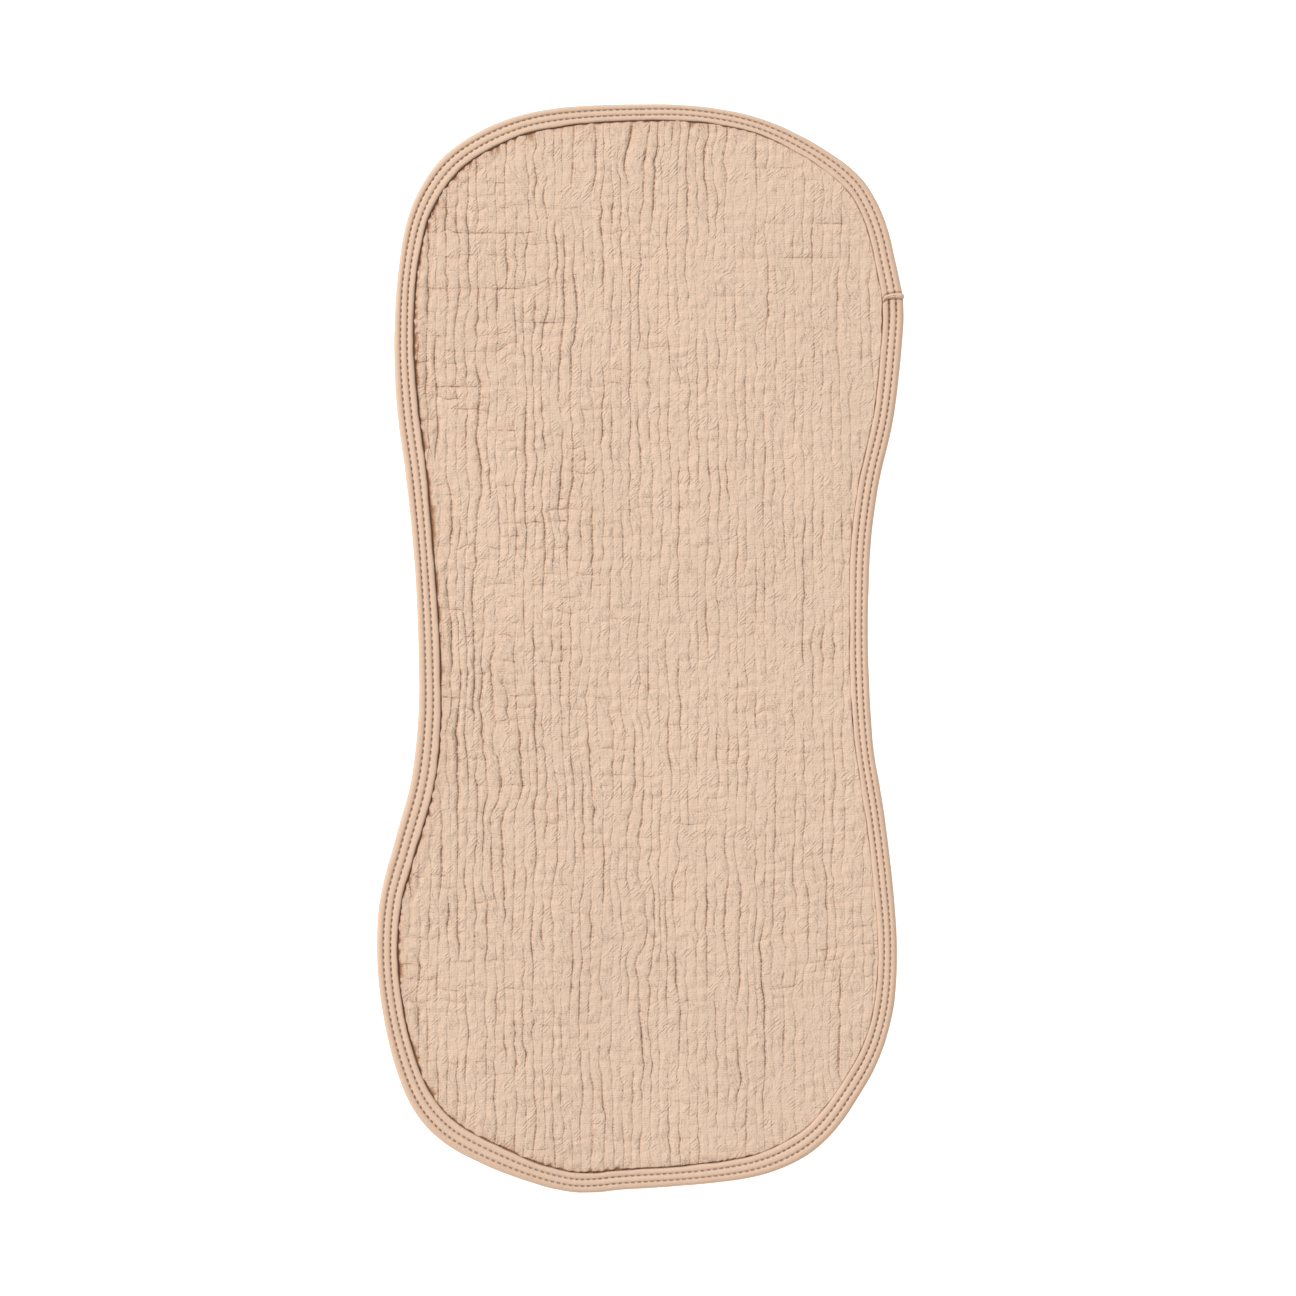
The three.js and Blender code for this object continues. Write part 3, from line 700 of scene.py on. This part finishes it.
def reliefAt(field, seed, x, y, beyond, along):
    # height of the crinkled face over its own level, and how deep its creases are
    look = panelLook
    rib, row = field.look(field.rib, x, y), field.look(field.row, x, y)
    ribNumber, rowNumber = np.round(rib), np.round(row)
    toRib, toRow = 2 * np.abs(rib - ribNumber), 2 * np.abs(row - rowNumber)
    stronger = 1.0 + 0.4 * np.clip(-x / 110, -0.8, 1) - 0.22 * ease(np.abs(y), 50, 130)
    stronger = stronger + 0.25 * softNoise(x, y, 45, 70, seed + 12)
    long = lineNoise(ribNumber, y, 26, seed + 10) + 0.5 * lineNoise(ribNumber, y, 9, seed + 11)
    cellDepth = np.clip(0.8 + 0.6 * lineNoise(ribNumber, row, 1.0, seed + 28), 0.2, 1.3)
    ribDepth = between(look["ribDepth"], ease(long, -0.7, 1.1)) * stronger * cellDepth
    ribDepth = ribDepth + field.look(field.ribExtra, x, y) * (0.6 + 0.4 * cellDepth)
    across = 0.75 * lineNoise(rowNumber, rib, 1.1, seed + 24) + 0.5 * lineNoise(rowNumber, x, 14, seed + 13)
    rowDepth = between(look["rowDepth"], ease(across, -0.5, 0.9)) * stronger
    rowDepth = rowDepth + 0.7 * field.look(field.rowExtra, x, y)
    broad = 0.25 + 0.35 * np.clip(-(x + 30) / 60, -0.6, 1)
    ribValley = ribDepth * valley(toRib, 0.1 + broad * ease(ribDepth, 0.15, 0.8))
    midRib, midRow = np.sin(np.pi * (rib % 1)), np.sin(np.pi * (row % 1))
    rowValley = rowDepth * valley(toRow, 0.2 + 0.4 * ease(rowDepth, 0.1, 0.4)) * (0.5 + 0.5 * midRib)
    midNoise = lineNoise(np.floor(rib), y, 13, seed + 23)
    midValley = look["midDepth"] * ease(midNoise, 0.3, 0.9) * valley(1 - toRib, 0.1)
    tack = np.exp(-(toRib / 0.25) ** 2 - (toRow / 0.3) ** 2) * look["tackDepth"] * (1 + long)
    cell = lineNoise(np.floor(rib), np.floor(row) * 7.3 + 0.5, 1.0, seed + 14)
    left, outside = ease(x, -30, -80), np.maximum(beyond, 0)
    puffs = look["puff"] * (0.35 + cell) * (midRib * midRow) * (1 + 0.8 * left * np.exp(-outside / 9))
    lumps = 0.07 * softNoise(x, y, 3.6, 5.2, seed + 15) + 0.03 * softNoise(x, y, 2.2, 2.6, seed + 22)
    swell = look["swell"] * softNoise(x, y, 34, 52, seed + 19)
    height = puffs + lumps + swell - ribValley - rowValley - midValley - tack

    # a crease that follows the tape on the left
    follows = look["followAt"] + 0.9 * edgeNoise(along, 24, seed + 25) + 0.4 * edgeNoise(along, 6, seed + 26)
    follow = look["follow"] * left * ease(edgeNoise(along, 40, seed + 27), -0.5, 0.3)
    beside = follow * valley(np.abs(beyond - follows) / 2.2, 0.3)

    gather = gatherPhase(along, seed)
    toGather = 2 * np.abs(gather - np.round(gather))
    pull = 0.45 + 0.55 * lineNoise(np.round(gather), 0 * along, 1, seed + 21)
    gathered = np.maximum(left * ease(y, 20, 110), ease(np.abs(y), 225, 242))
    gathers = look["gather"] * (1 + 0.7 * gathered) * pull * valley(toGather, 0.6)
    height = height - beside - gathers * np.exp(-outside / (2.6 + 1.6 * left))
    # the last value is the deepest valley here, which later sets the painted shade in the creases
    return height, ribDepth, rowDepth, np.maximum(np.maximum(ribValley, rowValley), beside)


def borderLoop(quads):
    # the corners round the outside of a patch of quads, in order
    sides = np.concatenate([quads[:, [k, (k + 1) % 4]] for k in range(4)])
    count = quads.max() + 1
    forward, backward = sides[:, 0] * count + sides[:, 1], sides[:, 1] * count + sides[:, 0]
    border = sides[~np.isin(forward, backward)]
    following = dict(border.tolist())
    loop = [int(border[0, 0])]
    while following[loop[-1]] != loop[0]:
        loop.append(following[loop[-1]])
    return np.array(loop)


def alongTheTape(s):
    # places along the edge, unrolled and evened out
    step = np.diff(s, append=s[0])
    step = (step + edge.length / 2) % edge.length - edge.length / 2
    unrolled = s[0] + np.r_[0, np.cumsum(step[:-1])]
    length = round(float(step.sum()) / edge.length) * edge.length
    tripled = np.r_[unrolled - length, unrolled, unrolled + length]
    weights = np.array([1, 2, 3, 4, 3, 2, 1]) / 16
    return np.convolve(tripled, weights, "same")[len(s):2 * len(s)]


def panelFace(name, material, seed, upper):
    # one face of the cloth: its crinkled side, and a plain side where the two faces meet
    look = panelLook
    field = CrinkleField(seed, upper)
    fractions = (look["ribFractions"], look["rowFractions"])
    if not upper:
        fractions = (look["underRibFractions"], look["underRowFractions"])
    grid, ribs, rows = field.lattice(*fractions)
    x, y = grid[..., 0].ravel(), grid[..., 1].ravel()
    inset, along = edge.inset(x, y)
    beyond = inset - edge.width(along)
    width = len(ribs)
    a = (np.arange(len(rows) - 1)[:, None] * width + np.arange(width - 1)).ravel()
    quads = np.stack([a, a + 1, a + width + 1, a + width], 1)
    used, quads = np.unique(quads[(beyond > look["border"])[quads].all(1)], return_inverse=True)
    quads = quads.reshape(-1, 4)
    x, y, beyond, along = (values[used] for values in (x, y, beyond, along))

    # the outermost points move onto a line beside the tape, and further rows follow them under it
    loop = borderLoop(quads)
    s = alongTheTape(along[loop])
    along[loop], beyond[loop] = s, look["border"]
    x[loop], y[loop] = edge.at(s, edge.width(s) + look["border"])
    lower, strips = loop, []
    for offset in look["borderRows"]:
        outer = np.arange(len(loop)) + len(x)
        outerX, outerY = edge.at(s, edge.width(s) + offset)
        x, y = np.r_[x, outerX], np.r_[y, outerY]
        along, beyond = np.r_[along, s], np.r_[beyond, offset + 0 * s]
        strips.append(np.stack([np.roll(lower, -1), lower, outer, np.roll(outer, -1)], 1))
        lower = outer
    quads = np.vstack([quads] + strips)
    relief, ribDepth, rowDepth, fold = reliefAt(field, seed, x, y, beyond, along)

    # the cloth rises out of the tape's grip, here sooner and there later
    waves = 0.25 * edgeNoise(along, 5.5, seed + 30) + 0.2 * edgeNoise(along, 2.6, seed + 31)
    scallops = (0.08 + 0.2 * ease(np.abs(y - 20), 20, 110)) * (0.6 + 0.6 * edgeNoise(along, 13, seed + 32))
    scalloped = np.maximum(ease(x, -30, -80), ease(np.abs(y), 225, 242))
    waves = waves - scallops * scalloped * np.cos(2 * np.pi * gatherPhase(along, seed))
    pits = ease(edgeNoise(along, 3.4, seed + 33), -0.3, 0.5)
    waves = waves - 0.55 * pits * np.exp(-((edge.fromLap(along) + 6) / 16) ** 2)  # deepest by the lapped end
    freed = beyond + waves * (1.2 - 0.4 * np.clip(x / 90, -1, 1))
    freed = freed + 0.42 * np.clip(x / 90, -1, 1) + 0.2 * ease(x, 20, 90)  # most at the right
    freed = freed + ease(x, -20, -90) * (0.06 + 0.26 * ease(y, 90, -30))
    if upper:
        level = look["level"] + relief * (0.45 + 0.55 * ease(freed, 0.4, 3.5))
        risen = np.sin(0.5 * np.pi * np.clip((freed - 0.1) / 0.9, 0, 1))
        z = look["pressed"] + (level - look["pressed"]) * risen
        z = np.clip(z, 1.62, 3.5)
    else:
        level = 0.22 - 0.55 * relief
        z = look["underPressed"] + (level - look["underPressed"]) * ease(freed, -0.4, 5.0)
        z = np.clip(z, 0.0, 1.38)
    points = np.stack([x, y, z], 1)

    # a wall down from the last row to the plain side, which is one face
    plain = points[lower].copy()
    plain[:, 2] = look["midHeight"] + (0.05 if upper else -0.05)
    ring = np.arange(len(loop)) + len(points)
    points = np.vstack([points, plain])
    wall = np.stack([np.roll(lower, -1), lower, ring, np.roll(ring, -1)], 1)
    faces = quads.tolist() + wall.tolist() + [ring[::-1].tolist()]
    if not upper:
        faces = [face[::-1] for face in faces]
    piece = meshObject(name, points, faces, material)
    whole = np.r_[np.arange(len(x)), lower]
    ribsRows = [field.look(phase, x, y)[whole] + 64 for phase in (field.rib, field.row)]
    addUv(piece, "ribs", *ribsRows)
    addValues(piece, "ribDepth", np.clip(0.12 + ribDepth[whole] / 0.6, 0, 1.2))
    addValues(piece, "rowDepth", ease(rowDepth[whole], 0.14, 0.55))
    # the mesh's painted shade: in the creases, a painted shadow in the trench beside the tape, and painted
    # shade on the cloth near the tape, less towards the right
    shutShade = 1 - ease(freed, 0.25, 0.8)  # the trench beside the tape
    shaded = 0.3 * np.exp(-np.maximum(freed, 0) / 1.6) * (1 - ease(x, 40, 90))
    addValues(piece, "fold", np.clip(0.3 * fold / 0.9 + 0.9 * shutShade + shaded, 0, 1)[whole])
    print(f"{name}: {2 * len(quads) + 3 * len(loop)} triangles, up to {points[:, 2].max():.2f} mm high")
    return piece


# The binding: a tape folded over the edge, pressed down by two rows of stitches.
# Its section runs over the top, back through the slot that holds the panel, under the cloth and up the rim.

tapeShape = {
    "rim": 1.5,  # height of the rim
    "top": 2.95,
    "rows": (3.3, 6.5),
    "lip": 9.6,
    "roll": 1.35,  # width of the round rim
    "puff": 0.26,  # how far the tape swells between the rows
    "groove": 0.6,
    "grooveWidth": 0.46,
    "step": 0.86,
    "lapRise": 0.85,
    "lapWidth": 2.5,
    "lapArch": 0.55,
    "lapZone": 3.4,  # the mesh is finer this far on both sides of the lapped end
    "lapSteps": 57,
    "crack": 0.32,  # depth of the fine fold line along the lapped end
    "crackAt": 0.35,
}

topInsets = (
    0, 0.06, 0.2, 0.42, 0.75, 1.15, 1.6, 2.1, 2.5, 2.8, 3.05, 3.3, 3.55, 3.8, 4.1, 4.5, 4.9, 5.3, 5.7, 6.0,
    6.25, 6.5, 6.75, 7.05, 7.5, 8.0, 8.5, 8.9, 9.2, 9.4, 9.54, 9.6,
)
slotSection = (
    (9.5, 2.14), (8.8, 2.1), (6.0, 2.3), (2.2, 2.3), (1.65, 2.05), (1.6, 1.5), (1.7, 0.95), (2.4, 0.82),
    (6.0, 0.82), (9.0, 0.85), (9.28, 0.62), (9.25, 0.25), (9.0, 0.03),
)
underInsets = (7.9, 6.95, 6.5, 6.05, 4.9, 3.75, 3.3, 2.85, 2.2, 1.3)
rimSection = ((0.7, 0.1), (0.32, 0.36), (0.08, 0.85))


def tapeTop(inset):
    # height of the tape's upper side, before the stitches press it
    shape = tapeShape
    roll = np.sqrt(np.clip(1 - (1 - np.clip(inset / shape["roll"], 0, 1)) ** 2, 0, 1))
    height = shape["rim"] + (shape["top"] - shape["rim"]) * roll
    bounds = (0.8, *shape["rows"], shape["lip"])
    for low, high in zip(bounds, bounds[1:]):
        height = height + shape["puff"] * np.sin(np.pi * np.clip((inset - low) / (high - low), 0, 1)) ** 0.8
    turn = np.clip((inset - (shape["lip"] - 1.1)) / 1.1, 0, 1)
    return height - 0.75 * (1 - np.sqrt(np.clip(1 - turn ** 2, 0, 1)))


def pressAt(inset):
    # 1 on a row of stitches, 0 away from it
    width = tapeShape["grooveWidth"]
    return sum(np.exp(-((inset - r) / width) ** 2) for r in tapeShape["rows"])


def pastLap(s, inset):
    # how far along the edge from the lapped end's middle line, which bows, and bends back at the lip
    shape = tapeShape
    bow = shape["lapArch"] * np.sin(np.pi * np.clip(inset / shape["lip"], 0, 1)) - 1.3 * ease(inset, 7.6, 9.8)
    return edge.fromLap(s) - bow


def lapAt(s, inset):
    # 1 on the lapped end of the tape
    away = np.abs(pastLap(s, inset)) / (tapeShape["lapWidth"] / 2)
    return np.sqrt(np.clip(1 - away ** 2, 0, 1)), away


def belowLap(s, inset):
    # 1 just below the lapped end, where the rows are deep and darkened with painted shade, the inner one for
    # longer
    fromLap = edge.fromLap(s)
    far = np.where(inset > 5, 1.0, 0.55)
    return far * ease(fromLap, -20 * far, -7 * far) * ease(-fromLap, 0.8, 2.0)


def pressDepth(s, inset):
    # how far the stitches pull the tape down: most along each stitch, and deep just below the lapped end
    shape = tapeShape
    lapped, away = lapAt(s, inset)
    pulled = 0.5 - 0.5 * np.cos(2 * np.pi * s / stitchLook["step"])
    depth = shape["groove"] * (0.4 + 0.6 * pulled) * (1 + 0.25 * softNoise(s, inset * 9, 17, 1, 41))
    return depth * (1 + 0.9 * belowLap(s, inset)) * (1 - 0.95 * ease(-away, -1.5, -1.0))


def bindingMesh(material):
    shape = tapeShape
    coarse = np.arange(0, edge.length, edge.length / round(edge.length / shape["step"]))
    zone = shape["lapZone"]
    near = np.abs(edge.fromLap(coarse)) < zone
    fine = edge.lapS + np.linspace(-zone, zone, shape["lapSteps"])
    s = np.sort(np.r_[coarse[~near], fine % edge.length])
    tops, unders = np.array(topInsets), np.array(underInsets)
    slot, rim = np.array(slotSection), np.array(rimSection)
    insets = np.r_[tops, slot[:, 0], unders, rim[:, 0]]
    base = np.r_[tapeTop(tops), slot[:, 1], 0 * unders, rim[:, 1]]
    onTop = np.r_[np.ones(len(tops)), np.zeros(len(slot) + len(unders) + len(rim))]
    isUnder = np.r_[np.zeros(len(tops) + len(slot)), np.ones(len(unders)), np.zeros(len(rim))]
    along, inset = np.meshgrid(s, insets, indexing="ij")
    z = np.broadcast_to(base, along.shape).copy()
    top, under = np.broadcast_to(onTop, along.shape), np.broadcast_to(isUnder, along.shape)

    press = pressAt(inset)
    lapped, away = lapAt(along, inset)
    z -= top * press * pressDepth(along, inset)
    z += under * press * 0.26
    beside = np.exp(-((away - 1.45) / 0.3) ** 2)  # the tape dips on both sides of the lapped end
    z += top * (shape["lapRise"] * lapped - 0.4 * beside) * ease(inset, -0.5, 0.6)
    crack = np.exp(-((pastLap(along, inset) - shape["crackAt"]) / 0.17) ** 2)
    crack = crack * ease(inset, 1.2, 3.0) * ease(-inset, -9.2, -7.8)
    z -= top * shape["crack"] * crack
    lumps = 0.06 * softNoise(along, inset, 6.5, 2.6, 42) + 0.04 * softNoise(along, inset, 2.4, 2.0, 43)
    dragged = ease(softNoise(along, inset, 26, 30, 45), -0.2, 0.5)
    slant = 2 * np.pi * (along / 3.1 + 0.2 * inset)
    drag = 0.05 * np.sin(slant + 2.5 * softNoise(along, inset, 14, 9, 44)) * dragged
    pressed = np.clip(press, 0, 1)
    z += top * (1 - pressed) * (lumps + drag) * ease(inset, 0.2, 1.5)
    lift = 0.2 * ease(edgeNoise(along, 30, 46), -0.2, 0.7)
    z += lift * ease(inset, 7.6, 9.4) * top

    # the lip and the rim wander a little, and the lapped end stands out past the rim
    lipWander = 0.2 * edgeNoise(along, 13, 47) + 0.14 * edgeNoise(along, 5, 48)
    across = inset * edge.width(along) / shape["lip"] + lipWander * ease(inset, 6.8, 9.4)
    across += 0.08 * edgeNoise(along, 9, 49) * (1 - ease(inset, 0, 2.5))
    across -= 0.55 * lapped * (1 - ease(inset, 0, 2.0))
    x, y = edge.at(along, across)
    points = np.stack([x, y, z], -1).reshape(-1, 3)

    n, m = along.shape
    a = np.arange(n)[:, None] * m + np.arange(m)[None, :]
    right, below = np.roll(a, -1, 0), np.roll(a, -1, 1)
    corner = np.roll(right, -1, 1)
    quads = np.stack([a, right, corner, below], -1).reshape(-1, 4)
    piece = meshObject("binding_tape", points, quads.tolist(), material)
    girth = np.r_[0, np.cumsum(np.hypot(np.diff(insets), np.diff(base)))]
    lean = tapeLook["slant"] * sum((inset - r) * (np.abs(inset - r) < 1.2) for r in shape["rows"])
    girth = np.broadcast_to(girth, along.shape)
    addUv(piece, "tape", (along / stitchLook["step"] + lean).ravel(), girth.ravel())
    # where the stitches press: it sinks the pits by bump and sets the painted shade in the pits and grooves
    shown = 1 - ease(-away, -1.4, -1.1)
    addValues(piece, "press", (pressed * np.maximum(top * shown, under)).ravel())
    # painted shade and shadow: under the lip's edge, beside the lapped end, inside the slot, over the outer
    # band, in the rows below the lapped end and along its fine crease
    shutShade = top * (0.7 * ease(inset, 9.15, 9.6) + 0.5 * beside) + (1 - top) * (1 - under) * (inset > 1) * 0.8
    shutShade += 0.07 * top * (1 - ease(inset, 2.4, 3.4)) + 0.9 * top * pressed * belowLap(along, inset)
    shutShade += 0.45 * top * crack
    addValues(piece, "shutShade", np.clip(shutShade, 0, 1).ravel())
    print(f"binding_tape: {2 * len(quads)} triangles, up to {points[:, 2].max():.2f} mm high")
    return piece


# The topstitching, by Geometry Nodes

stitchLook = {
    "pitch": 3.0,
    "length": 1.75,
    "thread": 0.45,
    "sink": 0.3,
    "lean": 0.2,  # angle to the row, in radians
    "wander": 0.07,
}
stitchLook["count"] = round(edge.length / stitchLook["pitch"])
stitchLook["step"] = edge.length / stitchLook["count"]


def stitchTree(material):
    # one bent length of thread for every stitch along a row
    tree = bpy.data.node_groups.new("topstitchRow", "GeometryNodeTree")
    kinds = {"Row": "Geometry", "Stitches": "Int", "Length": "Float", "Thread": "Float", "Sink": "Float",
             "Lean": "Float", "Wander": "Float", "Seed": "Int"}
    for label, kind in kinds.items():
        tree.interface.new_socket(label, in_out="INPUT", socket_type="NodeSocket" + kind)
    tree.interface.new_socket("Stitching", in_out="OUTPUT", socket_type="NodeSocketGeometry")
    given, made = tree.nodes.new("NodeGroupInput").outputs, tree.nodes.new("NodeGroupOutput")

    def first(kind, inputs=(), **settings):
        return newNode(tree, kind, inputs, **settings).outputs[0]

    def vector(x, y, z):
        return first("ShaderNodeCombineXYZ", {0: x, 1: y, 2: z})

    half = times(tree, given["Length"], 0.5)
    down = times(tree, given["Sink"], -1.0)
    bend = first("GeometryNodeCurveQuadraticBezier", {
        "Resolution": 6,
        "Start": vector(times(tree, half, -1.0), 0.0, down),
        "Middle": vector(0.0, 0.0, given["Sink"]),
        "End": vector(half, 0.0, down),
    })
    radius = times(tree, given["Thread"], 0.5)
    strand = first("GeometryNodeCurvePrimitiveCircle", {"Resolution": 6, "Radius": radius})
    inputs = {"Curve": bend, "Profile Curve": strand, "Fill Caps": True}
    stitch = first("GeometryNodeCurveToMesh", inputs)

    tangent = first("GeometryNodeInputTangent")
    turn = first("FunctionNodeAlignRotationToVector", {"Vector": tangent}, axis="X", pivot_axis="Z")
    skew = newNode(tree, "FunctionNodeRandomValue", {"Seed": given["Seed"]}, data_type="FLOAT")
    least, most = [socket for socket in skew.inputs if socket.type == "VALUE"][:2]
    tree.links.new(minus(tree, given["Lean"], given["Wander"]), least)
    tree.links.new(plus(tree, given["Lean"], given["Wander"]), most)
    yaw = next(socket for socket in skew.outputs if socket.type == "VALUE")
    angle = first("FunctionNodeEulerToRotation", {0: vector(0.0, 0.0, yaw)})
    turned = first("FunctionNodeRotateRotation", {0: turn, 1: angle}, rotation_space="LOCAL")

    spaced = first("GeometryNodeResampleCurve", {"Curve": given["Row"], "Count": given["Stitches"]})
    inputs = {"Points": spaced, "Instance": stitch, "Rotation": turned}
    stitches = first("GeometryNodeRealizeInstances", {0: first("GeometryNodeInstanceOnPoints", inputs)})
    smooth = first("GeometryNodeSetShadeSmooth", {0: stitches})
    finish = first("GeometryNodeSetMaterial", {"Geometry": smooth, "Material": material})
    tree.links.new(finish, made.inputs[0])
    return tree


def rowCurve(name, x, y, z):
    curve = bpy.data.curves.new(name, "CURVE")
    curve.dimensions = "3D"
    spline = curve.splines.new("POLY")
    spline.points.add(len(x) - 1)
    spline.points.foreach_set("co", (np.stack([x, y, z, 1000 + 0 * x], 1) * mm).ravel())
    spline.use_cyclic_u = True
    row = bpy.data.objects.new(name, curve)
    bpy.context.collection.objects.link(row)
    return row


def stitchMesh(name, tree, rows, sink, seed):
    # the rows of one side of the cloth, as one plain mesh
    points, faces = [], []
    total = 0
    for k, row in enumerate(rows):
        modifier = row.modifiers.new("stitches", "NODES")
        modifier.node_group = tree
        given = {"Stitches": stitchLook["count"], "Length": stitchLook["length"] * mm,
                 "Thread": stitchLook["thread"] * mm, "Sink": sink * mm, "Lean": stitchLook["lean"],
                 "Wander": stitchLook["wander"], "Seed": seed + k}
        for item in tree.interface.items_tree:
            if item.in_out == "INPUT" and item.name in given:
                modifier[item.identifier] = given[item.name]
        graph = bpy.context.evaluated_depsgraph_get()
        mesh = bpy.data.meshes.new_from_object(row.evaluated_get(graph))
        flat = np.empty(len(mesh.vertices) * 3, np.float32)
        mesh.vertices.foreach_get("co", flat)
        made = flat.reshape(-1, 3) / mm
        perStitch = len(made) // stitchLook["count"]
        middle = made.reshape(stitchLook["count"], perStitch, 3).mean(1)
        far = np.hypot(*(middle[:, :2] - edge.lapPoint).T) > 12
        along = edge.fromLap(edge.inset(*middle[:, :2].T)[1])
        covered = 0.5 * (tapeShape["lapWidth"] + stitchLook["length"])
        kept = np.repeat(far | (np.abs(along) > covered), perStitch)  # the lapped end covers the others
        number = np.cumsum(kept) - 1 + total
        faces += [[int(number[v]) for v in face.vertices] for face in mesh.polygons if kept[face.vertices[0]]]
        points.append(made[kept])
        total += int(kept.sum())
        bpy.data.meshes.remove(mesh)
        bpy.data.objects.remove(row)
    points = np.vstack(points)
    piece = meshObject(name, points, faces, threadFinish)
    addUv(piece, "strand", points[:, 0] + points[:, 1], points[:, 2] * 6)
    print(f"{name}: {sum(len(face) - 2 for face in faces)} triangles")
    return piece


def stitching():
    tree = stitchTree(threadFinish)
    s = np.arange(0, edge.length, 0.6) + stitchLook["step"] * 0.5
    share = edge.width(s) / tapeShape["lip"]
    upper, under = [], []
    for k, row in enumerate(tapeShape["rows"]):
        x, y = edge.at(s, row * share)
        sunk = tapeTop(row + 0 * s) - tapeShape["groove"] * 0.82
        upper.append(rowCurve(f"upperRow{k}", x, y, sunk + 0.06))
        under.append(rowCurve(f"underRow{k}", x, y, 0.24 + 0 * s))
    upperPiece = stitchMesh("upper_topstitching", tree, upper, stitchLook["sink"], 3)
    underPiece = stitchMesh("under_topstitching", tree, under, -stitchLook["sink"], 8)
    return upperPiece, underPiece


# Making the pieces

muslin, tape, threadFinish = muslinMaterial(), tapeMaterial(), threadMaterial()
upperFace = panelFace("muslin_upper_face", muslin, 11, True)
underFace = panelFace("muslin_under_face", muslin, 211, False)
binding = bindingMesh(tape)
upperStitches, underStitches = stitching()


# Stage, light and camera

stageLook = {
    "floor": 3.0,  # metres across
    "floorColour": (0.92, 0.92, 0.92, 1),
    "floorGlow": 0.55,
    "key": (-4.9, 3.5, 4.8),  # where the light stands, turned to the origin
    "keySize": 1.3,
    "keyPower": 655,
    "keyColour": (1.0, 0.99, 0.975),
    "room": 0.86,  # light from all round
    "frameWidth": 0.6072,  # what the picture shows, in metres
    "lens": 85.0,
    "sensor": 36.0,
    "aim": (0.0036, 0.0001),
    "clothTop": 0.0025,
}


def plainFloor():
    half = stageLook["floor"] / 2 / mm
    material, tree, shader = newMaterial("pale_floor")
    surface = {"Base Color": stageLook["floorColour"], "Roughness": 0.8, "Specular IOR Level": 0.1,
               "Emission Color": (1, 1, 1, 1), "Emission Strength": stageLook["floorGlow"]}
    for label, value in surface.items():
        shader.inputs[label].default_value = value
    corners = [(-half, -half, 0), (half, -half, 0), (half, half, 0), (-half, half, 0)]
    floor = meshObject("floor", corners, [(0, 1, 2, 3)], material)


def keyLight():
    lamp = bpy.data.lights.new("key", "AREA")
    lamp.shape, lamp.size, lamp.energy = "SQUARE", stageLook["keySize"], stageLook["keyPower"]
    lamp.color = stageLook["keyColour"]
    light = bpy.data.objects.new("key", lamp)
    x, y, z = stageLook["key"]
    light.location = (x, y, z)
    light.rotation_euler = (math.atan2(math.hypot(x, y), z), 0, math.atan2(-y, -x) - math.pi / 2)
    bpy.context.collection.objects.link(light)


def cameraAbove():
    camera = bpy.data.cameras.new("camera")
    camera.lens, camera.sensor_width = stageLook["lens"], stageLook["sensor"]
    camera.dof.use_dof = False
    holder = bpy.data.objects.new("camera", camera)
    distance = stageLook["frameWidth"] * stageLook["lens"] / stageLook["sensor"]
    holder.location = (*stageLook["aim"], stageLook["clothTop"] + distance)
    bpy.context.collection.objects.link(holder)
    bpy.context.scene.camera = holder


plainFloor()
keyLight()
world = bpy.data.worlds.new("softRoom")
world.use_nodes = True
background = world.node_tree.nodes["Background"]
background.inputs[0].default_value = (1, 1, 1, 1)
background.inputs[1].default_value = stageLook["room"]
bpy.context.scene.world = world
bpy.context.scene.view_settings.view_transform = "Standard"
cameraAbove()
print("stage, lights and camera are set")


# Every piece hangs from one body, and the frame's panel and binding are hidden

for piece in (upperFace, underFace, binding, upperStitches, underStitches):
    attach(piece, "root")
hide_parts("muslin_panel")
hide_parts("muslin_panel")
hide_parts("edge_binding")
